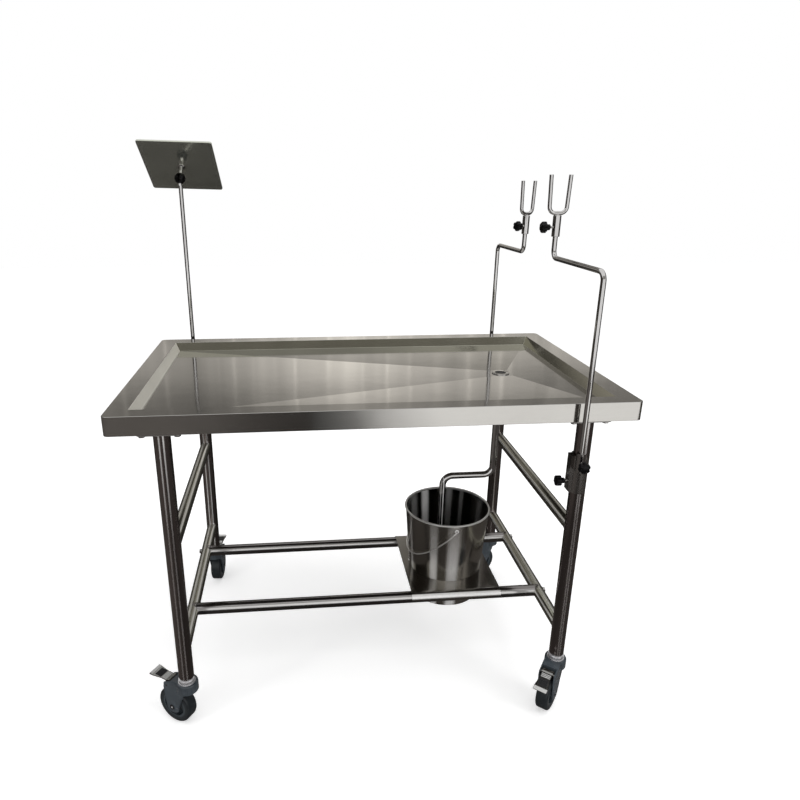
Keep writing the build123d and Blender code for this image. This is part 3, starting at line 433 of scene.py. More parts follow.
bmesh.ops.recalc_face_normals(sheet, faces=sheet.faces)
move_shape(sheet, TABLE)
sheet_steel = steel("sheet_steel", (0.44, 0.43, 0.41), (0.62, 0.61, 0.59), 0.05, 0.13, "X", 1100.0, 0.10)
# The rear of the basin floor is painted darker towards the left: painted shade.
shaded_rear_floor = steel(
    "rear_floor_painted_shade_steel", (0.42, 0.41, 0.385), (0.60, 0.59, 0.56), 0.06, 0.15, "X", 1100.0, 0.10,
    fade=("X", 0.0, 0.34, 0.52),
)
# The left slope of the basin is a lit copy of the sheet steel, paler and less metallic, and the other slopes
# a darker copy: painted light and shade.
painted_lit_slope = steel(
    "painted_lit_slope_steel", (0.52, 0.50, 0.45), (0.72, 0.70, 0.64), 0.26, 0.42, "Y", 300.0, 0.1, metal=0.45
)
painted_shade_slope = steel("painted_shade_slope_steel", (0.30, 0.29, 0.24), (0.44, 0.43, 0.36), 0.10, 0.22, "X", 900.0, 0.1)
# Faces that take painted light and shade: the slopes by the way they face, and the rear of the basin floor.
for face in sheet.faces:
    out, way = face.calc_center_median() - TABLE.translation, face.normal
    if 0.2 < way.z < 0.8 and out.z > HEIGHT - BEVEL_DROP - 0.001:
        face.material_index = 2 if way.x > 0.5 else 3
    elif way.z > 0.9 and way.y < -0.01 and out.z < HEIGHT - BEVEL_DROP:
        face.material_index = 1
materials = [sheet_steel, shaded_rear_floor, painted_lit_slope, painted_shade_slope]
top = build(sheet, "table_top_sheet", materials, "table", ["table_top"], crisp=0.5)
thicken(top, SHEET, fold=0.0022, rounds=3, crisp=30)


# Under frame: four legs of round stainless tube on bolted plates, tied by round rails that are coped
# to the legs and welded all round. The welds are dressed to a small bead and the tubes mirror polished.
LEG_X, LEG_Y, LEG_R, RAIL_R = 0.485, 0.31, 0.019, 0.016
LEG_FOOT, PLATE_Z = 0.149, HEIGHT - APRON - 0.005
UPPER_RAIL_Z, LOWER_RAIL_Z, LONG_RAIL_Y = 0.524, 0.228, 0.147
BEAD_R, BEAD_SINK, LONG_BEAD_R, TUBE_WALL = 0.0022, 0.0004, 0.0012, 0.0012
RAIL_COPE, LONG_COPE = 0.012, 0.010
CORNERS = {"front_left": (-1, -1), "front_right": (1, -1), "rear_left": (-1, 1), "rear_right": (1, 1)}


def tube(shape, start, end, radius):
    """An open tube between two points."""
    start, end = Vector(start), Vector(end)
    along = end - start
    place = Matrix.Translation((start + end) / 2) @ along.to_track_quat("Z", "Y").to_matrix().to_4x4()
    bmesh.ops.create_cone(
        shape, cap_ends=False, segments=96, radius1=radius, radius2=radius, depth=along.length, matrix=place
    )


def turned(shape, profile, matrix, steps, closed=False):
    """A shape turned on a lathe: the profile is (radius, height) pairs, turned about its own Z axis."""
    verts = [shape.verts.new((radius, 0, height)) for radius, height in profile]
    edges = [shape.edges.new(pair) for pair in zip(verts, verts[1:] + verts[:1] if closed else verts[1:])]
    before = set(shape.verts) - set(verts)
    bmesh.ops.spin(
        shape, geom=verts + edges, cent=(0, 0, 0), axis=(0, 0, 1), angle=2 * pi, steps=steps, use_merge=True
    )
    made = [vert for vert in shape.verts if vert not in before]
    bmesh.ops.remove_doubles(shape, verts=made, dist=0.000002)
    made = [vert for vert in shape.verts if vert not in before]
    faces = list({face for vert in made for face in vert.link_faces})
    bmesh.ops.recalc_face_normals(shape, faces=faces)
    bmesh.ops.transform(shape, verts=made, matrix=matrix)
    return made


def bead(shape, spot, matrix, radius, thickness=BEAD_R):
    """A ring of weld metal round a tube end."""
    ring = [(radius + thickness * cos(a * pi / 4), thickness * sin(a * pi / 4)) for a in range(8)]
    return turned(shape, ring, Matrix.Translation(spot) @ matrix, 72, True)


def bands(middle, glints, *climb):
    """Painted glints of a steel about one middle line, from (way, width, strength). The way is in degrees, in
    the plane across the line."""
    made = []
    for way, width, strength in glints:
        shares = iter((cos(radians(way)), sin(radians(way))))
        toward = tuple(0 if value is None else next(shares) for value in middle)
        made.append((middle, toward, width, strength, *climb))
    return made


# Painted highlights: pale glints at set angles round each leg, growing towards the top, and on the rear left
# leg towards the foot.
LEG_GLINTS = {
    "front_left": (-101, -72), "front_right": (-104, -88), "rear_left": (-72, -106), "rear_right": (-98,)
}
GLINT_WIDTH, GLINT_STRENGTH, LEG_CLIMB, REAR_LEFT_CLIMB = 7.5, 0.55, ("Z", 0.55, 0.82), ("Z", 0.80, 0.35)
for corner, (side_x, side_y) in CORNERS.items():
    leg = bmesh.new()
    x, y = side_x * LEG_X, side_y * LEG_Y
    tube(leg, (x, y, LEG_FOOT), (x, y, PLATE_Z), LEG_R)
    bead(leg, (x, y, PLATE_Z - 0.0006), Matrix(), LEG_R - BEAD_SINK)
    for height in (UPPER_RAIL_Z, LOWER_RAIL_Z):
        made = bead(leg, (x, y, height), Matrix.Rotation(pi / 2, 4, "X"), RAIL_R)
        for vert in made:
            vert.co.y -= side_y * sqrt(LEG_R**2 - (vert.co.x - x) ** 2)
    move_shape(leg, TABLE)
    middle = (*(TABLE @ Vector((x, y, 0))).xy, None)
    glints = [(way, GLINT_WIDTH, GLINT_STRENGTH) for way in LEG_GLINTS[corner]]
    climb = REAR_LEFT_CLIMB if corner == "rear_left" else LEG_CLIMB
    leg_steel = steel(
        f"leg_steel_{corner}", (0.19, 0.165, 0.158), (0.34, 0.30, 0.29), 0.08, 0.18, "Z", 500.0, 0.01,
        bands(middle, glints, climb),
    )
    piece = build(leg, f"leg_tube_{corner}", leg_steel, "table", [f"leg_{corner}"])
    thicken(piece, TUBE_WALL)

# Painted highlights: pale glints at set angles along each side rail.
RAIL_GLINTS = {"left": ((56, 17, 0.42), (107, 22, 0.30)), "right": ((147, 15, 0.42), (85, 15, 0.25))}
for side, hand in ((-1, "left"), (1, "right")):
    for height, level_name in ((UPPER_RAIL_Z, "upper"), (LOWER_RAIL_Z, "lower")):
        middle = ((TABLE @ Vector((side * LEG_X, 0, 0))).x, None, height)
        rail_steel = steel(
            f"{level_name}_rail_steel_{hand}", (0.34, 0.335, 0.28), (0.56, 0.55, 0.47), 0.10, 0.22,
            "Y", 500.0, 0.03, bands(middle, RAIL_GLINTS[hand]),
        )
        rail = bmesh.new()
        reach = LEG_Y - RAIL_COPE
        tube(rail, (side * LEG_X, -reach, height), (side * LEG_X, reach, height), RAIL_R)
        move_shape(rail, TABLE)
        name = f"{level_name}_rail_{hand}"
        build(rail, f"{name}_tube", rail_steel, "table", [name])

# Painted highlights: a pale glint along each long rail, and a brighter one on the shelf's roll over the front
# rail.
LONG_GLINT, SHELF_GLINT = (150, 24, 0.42), (150, 28, 0.8)
rails = bmesh.new()
long_steel = []
for side, hand in ((-1, "front"), (1, "rear")):
    y = side * LONG_RAIL_Y
    middle = (None, (TABLE @ Vector((0, y, 0))).y, LOWER_RAIL_Z)
    made = steel(
        f"long_rail_steel_{hand}", (0.13, 0.12, 0.115), (0.26, 0.245, 0.24), 0.07, 0.17, "X", 500.0, 0.01,
        bands(middle, [LONG_GLINT]),
    )
    long_steel.append(made)
    reach = LEG_X - LONG_COPE
    tube(rails, (-reach, y, LOWER_RAIL_Z), (reach, y, LOWER_RAIL_Z), RAIL_R)
    for end in (-1, 1):
        spot = (end * LEG_X, y, LOWER_RAIL_Z)
        made = bead(rails, spot, Matrix.Rotation(pi / 2, 4, "Y"), RAIL_R, LONG_BEAD_R)
        for vert in made:
            vert.co.x -= end * sqrt(max(RAIL_R**2 - (vert.co.z - LOWER_RAIL_Z) ** 2, 0))
move_shape(rails, TABLE)
for face in rails.faces:
    face.material_index = int(face.calc_center_median().y > TABLE.translation.y)
build(rails, "long_rail_tubes", long_steel, "table", ["long_rails"])


# Channels, leg plates and their bolts under the table top, and the bolts of the long rails: pressed
# and drilled steel, ground dull, and turned bolts left as bought. All keep the solids' own shape.
def dress(material, *nodes):
    """Give CAD nodes whose shape is right their finish, and shade them as turned or pressed metal."""
    for name in nodes:
        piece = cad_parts[name]
        piece.data.materials.clear()
        piece.data.materials.append(material)
        piece.data.shade_smooth()
        weld = piece.modifiers.new("one_skin", "WELD")
        weld.merge_threshold = 0.00001
        corners = piece.modifiers.new("sharp_edges", "EDGE_SPLIT")
        corners.split_angle = radians(32)


plate_steel = steel("plate_steel", (0.30, 0.29, 0.28), (0.46, 0.45, 0.44), 0.22, 0.36, "X", 700.0, 0.15)
bolt_steel = steel("bolt_steel", (0.38, 0.37, 0.36), (0.58, 0.57, 0.56), 0.16, 0.30, "Z", 500.0, 0.15)
dress(plate_steel, "cross_channels", "leg_plates")
dress(bolt_steel, "plate_bolts", "rail_bolts")


# Bucket shelf: a polished plate with a round hole for the bucket, its two long edges rolled over the
# long rails so that it can be slid along them. It rests on the rails by its own weight.
BUCKET_X, BUCKET_FOOT, BUCKET_TOP = 0.245, 0.158, 0.434
BUCKET_FOOT_R, BUCKET_TOP_R, BUCKET_WALL, BUCKET_BEAD = 0.101, 0.1216, 0.0012, 0.003
SHELF_HALF, SHELF_SHEET, SHELF_SKIRT, SHELF_GAP = 0.127, 0.002, 23.6, 0.0001
SHELF_Z = LOWER_RAIL_Z + RAIL_R + SHELF_GAP + SHELF_SHEET


def bucket_radius(height):
    """Outside radius of the bucket's tapered wall."""
    share = (height - BUCKET_FOOT) / (BUCKET_TOP - BUCKET_FOOT)
    return BUCKET_FOOT_R + share * (BUCKET_TOP_R - BUCKET_FOOT_R)


shelf = bmesh.new()
plate = loop_of(shelf, 2 * SHELF_HALF, 2 * LONG_RAIL_Y, SHELF_Z)
hole = circle_of(shelf, 96, bucket_radius(SHELF_Z) + BORE_GAP, Matrix.Translation((0, 0, SHELF_Z)))
long_edges = [edge for edge in plate if abs(edge.verts[0].co.y - edge.verts[1].co.y) < 1e-6]
bmesh.ops.bridge_loops(shelf, edges=plate + hole)
for edge in long_edges:
    side = 1 if edge.verts[0].co.y > 0 else -1
    bmesh.ops.spin(
        shelf,
        geom=[*edge.verts, edge],
        cent=(0, side * LONG_RAIL_Y, LOWER_RAIL_Z),
        axis=(1, 0, 0),
        angle=-side * radians(90 + SHELF_SKIRT),
        steps=18,
        use_merge=False,
    )
bmesh.ops.remove_doubles(shelf, verts=shelf.verts, dist=0.00001)
bmesh.ops.recalc_face_normals(shelf, faces=shelf.faces)
if sum(face.normal.z * face.calc_area() for face in shelf.faces) < 0:
    bmesh.ops.reverse_faces(shelf, faces=shelf.faces)
move_shape(shelf, TABLE @ Matrix.Translation((BUCKET_X, 0, 0)))
front_roll = (None, (TABLE @ Vector((0, -LONG_RAIL_Y, 0))).y, LOWER_RAIL_Z)
# The shelf's roll over the front rail carries a painted highlight.
shelf_steel = steel(
    "shelf_steel", (0.21, 0.20, 0.185), (0.38, 0.37, 0.345), 0.09, 0.20, "Y", 900.0, 0.08,
    bands(front_roll, [SHELF_GLINT]),
)
piece = build(shelf, "bucket_shelf_plate", shelf_steel, "table", ["bucket_shelf"], crisp=25)
thicken(piece, SHELF_SHEET, fold=0.0005, crisp=40)


# Bucket: stainless steel, deep drawn in one piece, with a wired rim, a spun foot ring and two ears
# that are spot welded to the wall and bushed for the bail. The wall keeps faint rings from polishing.
EAR_Z, EAR_R, EAR_THICKNESS, EAR_BUSH_R, EAR_BUSH = BUCKET_TOP - 0.018, 0.012, 0.0025, 0.0055, 0.002
EAR_SINK, EAR_BORE_R, FOOT_RISE, BASE_INSET, BASE_ROUND = 0.0010, 0.0025, 0.006, 0.004, 0.010
WALL_STEP, WALL_STEPS, CLIMB_END = 0.022, 11, 0.06
# Painted highlights on the bucket wall, outside and inside, as (way, width, strength).
BUCKET_GLINTS = ((-120, 8, 0.62), (-92, 12, 0.68), (-163, 5, 0.4), (60, 13, 0.5), (175, 12, 0.5))
INSIDE_GLINTS = ((112, 9, 0.9), (135, 12, 0.35), (74, 7, 0.4), (55, 5, 0.3), (20, 8, 0.2), (-60, 10, 0.4))
BUCKET_PLACE = TABLE @ Matrix.Translation((BUCKET_X, 0, 0))
base_z, wall_top = BUCKET_FOOT + FOOT_RISE, BUCKET_TOP - BUCKET_BEAD
base_r, rim_r = bucket_radius(base_z) - BASE_INSET, bucket_radius(wall_top)
wall_heights = [base_z + step * WALL_STEP for step in range(1, WALL_STEPS + 1)]
profile = [(0, base_z), (base_r, base_z), (BUCKET_FOOT_R - BUCKET_WALL, BUCKET_FOOT)]
profile += [(BUCKET_FOOT_R, BUCKET_FOOT), (bucket_radius(base_z + 0.002), base_z + 0.002)]
profile += [(bucket_radius(height), height) for height in wall_heights]
for turn in range(-80, 181, 20):
    profile.append((rim_r + BUCKET_BEAD * cos(radians(turn)), wall_top + BUCKET_BEAD * sin(radians(turn))))
profile += [(rim_r - BUCKET_WALL, wall_top - 0.004)]
profile += [(bucket_radius(height) - BUCKET_WALL, height) for height in reversed(wall_heights)]
for turn in (20, 45, 70, 90):
    inset, drop = BASE_ROUND * (1 - cos(radians(turn))), (BASE_ROUND - BUCKET_WALL) * sin(radians(turn))
    profile.append((base_r - inset, base_z + BASE_ROUND - drop))
profile += [(0, base_z + BUCKET_WALL)]
bucket = bmesh.new()
turned(bucket, profile, BUCKET_PLACE, 128)
# Painted highlights run up the outside wall, fading towards the rim.
axis_line = (*BUCKET_PLACE.translation.xy, None)
bucket_steel = steel(
    "bucket_steel", (0.31, 0.29, 0.26), (0.51, 0.485, 0.44), 0.12, 0.24, "Z", 700.0, 0.03,
    bands(axis_line, BUCKET_GLINTS, ("Z", BUCKET_TOP, BUCKET_FOOT + CLIMB_END)),
)
# The inside of the bucket is a darker copy of its steel, with its own glints: painted shade and painted
# highlights.
inside_painted_shade_steel = steel(
    "bucket_inside_painted_shade_steel", (0.10, 0.095, 0.085), (0.2, 0.19, 0.175), 0.16, 0.30, "Z", 700.0, 0.03,
    bands(axis_line, INSIDE_GLINTS),
)
# The rim bead is a paler, less metallic copy of the steel: a painted highlight.
rim_highlight_steel = steel(
    "bucket_rim_painted_highlight_steel", (0.50, 0.49, 0.47), (0.78, 0.77, 0.75), 0.12, 0.24, "Z", 700.0, 0.03, metal=0.6
)
# Inner faces and the inner floor take the painted shade, the rim bead the painted highlight.
for face in bucket.faces:
    out = face.calc_center_median() - BUCKET_PLACE.translation
    if face.normal.xy.dot(out.xy) < 0 or face.normal.z > 0.9 and out.z < base_z + 0.004:
        face.material_index = 1
    if out.z > wall_top - BUCKET_BEAD:
        face.material_index = 2
materials = [bucket_steel, inside_painted_shade_steel, rim_highlight_steel]
build(bucket, "bucket_shell", materials, "bucket", ["bucket"], crisp=50)

ears = bmesh.new()
face_r = bucket_radius(EAR_Z)
lean = (BUCKET_TOP_R - BUCKET_FOOT_R) / (BUCKET_TOP - BUCKET_FOOT)
for side in (-1, 1):
    spot = Matrix.Translation((0, side * (face_r - EAR_SINK), EAR_Z))
    out = BUCKET_PLACE @ spot @ Matrix.Rotation(-side * pi / 2, 4, "X")
    made = turned(
        ears,
        [
            (EAR_BORE_R, 0), (EAR_R, 0), (EAR_R, 0.0028), (EAR_R - 0.0007, 0.0035),
            (EAR_BUSH_R + 0.0006, 0.0035), (EAR_BUSH_R, 0.0040), (EAR_BUSH_R, 0.0050),
            (EAR_BUSH_R - 0.0005, 0.0055), (EAR_BORE_R, 0.0055),
        ],
        out,
        48,
    )
    for vert in made:
        if (out.inverted() @ vert.co).xy.length > EAR_BUSH_R + 0.0003:
            vert.co.y += side * lean * (vert.co.z - EAR_Z)
# The ear bushes are painted near white and mostly not metallic: a painted highlight.
bush_highlight_steel = steel(
    "bush_highlight_steel", (0.82, 0.81, 0.80), (0.95, 0.94, 0.93), 0.14, 0.26, "Z", 500.0, 0.03, metal=0.2
)
for face in ears.faces:
    middle = BUCKET_PLACE.inverted() @ face.calc_center_median()
    face.material_index = int((middle - Vector((0, middle.y, EAR_Z))).length < EAR_BUSH_R + 0.0002)
build(ears, "bucket_ears", [bucket_steel, bush_highlight_steel], "bucket", [], crisp=40)


# Bail: one stainless wire bent to half an ellipse, its two ends turned in through the ear bushes.
# It has swung down on the drain side and leans clear of the bucket's wall.
WIRE, BAIL_REACH, BAIL_BEND, BAIL_ANGLE, BAIL_GAP = 0.0044, 0.163, 0.004, radians(45.5), 0.0003


def follow(shape, path, radius, segments, caps=True):
    """Round wire or rod along a path: a ring is pushed along it, turning as the path turns."""
    path = [Vector(point) for point in path]
    ways = [(b - a).normalized() for a, b in zip(path, path[1:])]
    first = ways[0]
    side = first.orthogonal().normalized()
    frame_now = Matrix((side, first.cross(side), first)).transposed()
    edges = circle_of(shape, segments, radius, Matrix.Translation(path[0]) @ frame_now.to_4x4())
    start, spot, way = edges, path[0], first
    for number, point in enumerate(path[1:]):
        onward = ways[min(number + 1, len(ways) - 1)]
        mean = (ways[number] + onward).normalized()
        tilt = way.rotation_difference(mean).to_matrix().to_4x4()
        edges = carry_on(shape, edges, Matrix.Translation(point) @ tilt @ Matrix.Translation(-spot))
        spot, way = point, mean
    if caps:
        for end in (start, edges):
            bmesh.ops.edgeloop_fill(shape, edges=end)
    bmesh.ops.recalc_face_normals(shape, faces=shape.faces)


def filleted(points, radius, steps):
    """A bent path: straight runs with an arc of one radius at each bend."""
    points = [Vector(point) for point in points]
    path = [points[0]]
    for before, corner, after in zip(points, points[1:], points[2:]):
        back, on = (before - corner).normalized(), (after - corner).normalized()
        half = back.angle(on) / 2
        reach = radius / (sin(half) / cos(half))
        centre = corner + (back + on).normalized() * (radius / sin(half))
        first = (corner + back * reach - centre).normalized()
        last = (corner + on * reach - centre).normalized()
        for step in range(steps + 1):
            path.append(centre + first.slerp(last, step / steps) * radius)
    return path + [points[-1]]


bail_y = face_r + EAR_THICKNESS + EAR_BUSH + BAIL_BEND + BAIL_GAP
ends = face_r - 0.0004
hook = [(BAIL_BEND * (1 - cos(radians(a))), BAIL_BEND * (1 - sin(radians(a)))) for a in (25, 50, 75)]
path = [(0, -ends, 0), (0, -bail_y + BAIL_BEND, 0)]
path += [(-over, -bail_y + back, 0) for over, back in hook]
path += [
    (-BAIL_BEND - (BAIL_REACH - BAIL_BEND) * sin(radians(a)), -bail_y * cos(radians(a)), 0)
    for a in range(0, 181, 3)
]
path += [(-over, bail_y - back, 0) for over, back in reversed(hook)]
path += [(0, bail_y - BAIL_BEND, 0), (0, ends, 0)]
bail = bmesh.new()
follow(bail, path, WIRE / 2, 20)
move_shape(bail, BUCKET_PLACE @ Matrix.Translation((0, 0, EAR_Z)) @ Matrix.Rotation(-BAIL_ANGLE, 4, "Y"))
wire_steel = steel(
    "wire_steel", (0.62, 0.60, 0.57), (0.88, 0.87, 0.85), 0.12, 0.24, "Y", 500.0, 0.05, metal=0.78
)
build(bail, "bail_wire", wire_steel, "bail", ["bail"], crisp=50)


# Drain: a turned flange let into the well with a lift-out strainer, held below by a hexagon nut, and
# a swan-neck pipe bent from chromed tube that drops over the bucket. The strainer is painted near black
# and black discs paint the shade in its holes, in two rings: painted shade in the drain.
drain_steel = steel(
    "drain_steel", (0.46, 0.45, 0.43), (0.60, 0.59, 0.57), 0.20, 0.32, "Z", 500.0, 0.05, metal=0.85
)
dress(sheet_steel, "drain_body")
dress(drain_steel, "drain_locknut")

SEAT, FLANGE, LEDGE_DEPTH, STRAINER_R, STRAINER_FACE, HOLE_R = 0.0003, 0.002, 0.003, 0.0145, 0.0019, 0.0018
STRAINER_PLACE = TABLE @ Matrix.Translation((DRAIN_X, 0, DRAIN_Z + FLANGE - LEDGE_DEPTH + SEAT))
strainer = bmesh.new()
turned(
    strainer,
    [
        (0, 0), (STRAINER_R - 0.0004, 0), (STRAINER_R, 0.0004), (STRAINER_R, 0.0015),
        (STRAINER_R - 0.0006, 0.0020), (0, STRAINER_FACE),
    ],
    STRAINER_PLACE,
    64,
)
# The strainer disc is painted near black: painted shade in the drain well.
strainer_painted_shade = steel("strainer_painted_shade", (0.02, 0.02, 0.019), (0.06, 0.06, 0.057), 0.3, 0.45, "Z", 700.0, 0.08)
build(strainer, "strainer_disc", strainer_painted_shade, "strainer", ["drain_strainer"], crisp=40)
# Black discs on the strainer paint the shade in its holes.
dark = Finish(bpy.data.materials.new("strainer_hole_painted_shade"))
painted_hole_shade = surface(
    dark, {"Base Color": (0.012, 0.012, 0.012, 1), "Roughness": cloudy(dark, 300.0, 2.0) * 0.3 + 0.5}
)
holes = bmesh.new()
for ring, count in ((STRAINER_R / 3, 5), (STRAINER_R * 0.75, 11)):
    for step in range(count):
        spot = Matrix.Rotation(2 * pi * step / count, 4, "Z") @ Matrix.Translation((ring, 0, STRAINER_FACE))
        turned(
            holes,
            [(0, 0.00018), (HOLE_R - 0.0002, 0.00018), (HOLE_R, 0.00005), (HOLE_R, -0.0008), (0, -0.0008)],
            STRAINER_PLACE @ spot,
            20,
        )
build(holes, "strainer_hole_shade_discs", painted_hole_shade, "strainer", [], crisp=40)

PIPE_R, PIPE_RUN_Z, PIPE_END_X, PIPE_END_Z = 0.0095, 0.529, 0.228, 0.345
PIPE_TAIL, PIPE_BEND, PIPE_WALL, PIPE_GLINTS = 0.022, 0.028, 0.0014, ((-84, 12, 0.9), (-128, 14, 0.45))
pipe = bmesh.new()
bends = [
    (DRAIN_X, 0, DRAIN_Z - PIPE_TAIL), (DRAIN_X, 0, PIPE_RUN_Z), (PIPE_END_X, 0, PIPE_RUN_Z),
    (PIPE_END_X, 0, PIPE_END_Z),
]
follow(pipe, filleted(bends, PIPE_BEND, 14), PIPE_R, 48, caps=False)
move_shape(pipe, TABLE)
# Painted highlights: pale glints along the swan neck.
pipe_chrome = steel(
    "pipe_chrome", (0.46, 0.45, 0.445), (0.64, 0.63, 0.62), 0.035, 0.10, "Z", 300.0, 0.03,
    bands((*(TABLE @ Vector((PIPE_END_X, 0, 0))).xy, None), PIPE_GLINTS),
)
piece = build(pipe, "drain_swan_neck", pipe_chrome, "table", ["drain_pipe"], crisp=50)
thicken(piece, PIPE_WALL)


# Star knobs: moulded in black phenolic with six lobes, on a plated steel screw that bites on the rod
# or on the leg. The face is domed and the flutes are rolled off where the mould parts.
KNOB_R, KNOB_HEAD, KNOB_NECK, KNOB_NECK_R, SCREW_R, SCREW_SHOW = 0.0135, 0.015, 0.008, 0.007, 0.003, 0.007
ROD_R, THREAD, LOBES, LOBE_TURN, FLUTE = 0.006, 0.0010, 6, 25, 0.0024


def plastic(name, colour, light, smooth, rough, grain_size, dent, coat=0.0, gleam=0.4):
    """Moulded plastic or rubber: a deep colour with paler rubbed places, and a fine moulded grain."""
    finish = Finish(bpy.data.materials.new(name))
    pores = cloudy(finish, grain_size, 3.0)
    rubbed = cloudy(finish, 26.0)
    edge = finish.node("ShaderNodeNewGeometry", {}, {}, "Pointiness")
    worn = finish.node("ShaderNodeMapRange", {}, {"Value": edge, 1: 0.51, 2: 0.58, 3: 0.0, 4: 1.0})
    share = finish.node("ShaderNodeMapRange", {}, {"Value": rubbed, 1: 0.45, 2: 0.75, 3: 0.0, 4: 0.6})
    tone = mixed(finish, share * 0.7 + worn * 0.4, colour, light)
    bump = finish.node("ShaderNodeBump", {}, {"Height": pores, "Strength": dent, "Distance": 0.0003})
    return surface(
        finish,
        {
            "Base Color": tone,
            "Roughness": rubbed * (rough - smooth) + pores * 0.06 + (smooth - 0.03),
            "Coat Weight": coat,
            "Coat Roughness": 0.06,
            "Specular IOR Level": gleam,
            "Normal": bump,
        },
    )


knob_black = plastic(
    "knob_black", (0.002, 0.002, 0.002), (0.008, 0.007, 0.008), 0.12, 0.24, 900.0, 0.03, 0.12, 0.1
)
screw_steel = steel("screw_steel", (0.42, 0.41, 0.40), (0.66, 0.65, 0.63), 0.14, 0.26, "X", 900.0, 0.1)


def star_knob(name, screw, place):
    """Knob along +X from its screw's tip; place puts the tip where the screw bites. Each knob is put on
    its own body, which has its name."""
    upright = place @ Matrix.Rotation(pi / 2, 4, "Y")
    head = screw + KNOB_NECK
    face = head + KNOB_HEAD
    shape = bmesh.new()
    made = turned(
        shape,
        [
            (SCREW_R, screw - 0.0008), (KNOB_NECK_R - 0.0006, screw - 0.0004), (KNOB_NECK_R, screw + 0.0006),
            (KNOB_NECK_R, screw + KNOB_NECK * 0.6), (KNOB_NECK_R + 0.0016, head - 0.0006),
            (KNOB_R - 0.0026, head), (KNOB_R - 0.0008, head + 0.0007), (KNOB_R, head + 0.0022),
            (KNOB_R, face - 0.0050), (KNOB_R - 0.0006, face - 0.0032), (KNOB_R - 0.0022, face - 0.0018),
            (KNOB_R * 0.62, face - 0.0007), (KNOB_R * 0.3, face - 0.0001), (0, face),
        ],
        Matrix(),
        144,
    )
    pitch = 360 / LOBES
    for vert in made:
        radius = vert.co.xy.length
        if radius > KNOB_NECK_R + 0.001:
            way = degrees(vert.co.xy.angle_signed(Vector((1, 0))))
            near = (way - LOBE_TURN + pitch / 2) % pitch - pitch / 2
            swell = 0.5 + 0.5 * cos(radians(near * LOBES))
            depth = FLUTE * swell**2 * min(1, (radius - KNOB_NECK_R) / 0.004)
            vert.co.xy *= (radius - depth) / radius
    move_shape(shape, upright)
    build(shape, f"{name}_star", knob_black, name, [name], crisp=60)
    threaded = bmesh.new()
    turns = [(0, 0.0001), (SCREW_R - 0.0008, 0.0001)]
    for step in range(int((screw + 0.001) / THREAD)):
        at = 0.0006 + step * THREAD
        turns += [(SCREW_R - 0.00035, at), (SCREW_R - 0.00004, at + THREAD / 2)]
    turns += [(SCREW_R - 0.0003, screw)]
    turned(threaded, turns, upright, 32)
    build(threaded, f"{name}_screw", screw_steel, name, [], crisp=60)


# Clamps: a cast saddle open on one side to slip on the leg, with a threaded pad, an arm that rises
# outwards and a bored sleeve for a rod. The casting is polished and its bores are reamed.
SADDLE_Z, SLEEVE_REACH, SLEEVE_RISE, SLEEVE_HEIGHT = 0.628, 0.070, 0.080, 0.046
SLEEVE_R, SADDLE_PAD, KNOB_RISE, KNOB_TURN, SLEEVE_TURN = 0.0105, 0.0095, 0.027, radians(65), radians(18)
CLAMPS = {
    "front_right": (1, -1, radians(243.5), -1),
    "rear_right": (1, 1, radians(112), 1),
    "rear_left": (-1, 1, radians(111), 1),
}
clamp_steel = steel("clamp_steel", (0.24, 0.23, 0.22), (0.48, 0.465, 0.455), 0.10, 0.24, "Z", 220.0, 0.12)
rod_places = {}
for name, (side_x, side_y, angle, hand) in CLAMPS.items():
    spot = TABLE @ Matrix.Translation((side_x * LEG_X, side_y * LEG_Y, 0)) @ Matrix.Rotation(angle, 4, "Z")
    sleeve = Matrix.Translation((SLEEVE_REACH, 0, SADDLE_Z + SLEEVE_RISE + SLEEVE_HEIGHT / 2))
    turn = Matrix.Rotation(-hand * SLEEVE_TURN, 4, "Z")
    sleeve_knob = spot @ sleeve @ turn @ Matrix.Translation((ROD_R + SEAT, 0, 0))
    star_knob(f"rod_knob_{name}", SLEEVE_R - ROD_R - SEAT + SCREW_SHOW, sleeve_knob)
    turn = Matrix.Rotation(hand * KNOB_TURN, 4, "Z")
    pad_knob = spot @ turn @ Matrix.Translation((LEG_R + SEAT, 0, SADDLE_Z + KNOB_RISE))
    star_knob(f"saddle_knob_{name}", SADDLE_PAD - SEAT + SCREW_SHOW, pad_knob)
    rod_places[name] = spot @ Vector((SLEEVE_REACH, 0, 0))
    dress(clamp_steel, f"clamp_saddle_{name}")


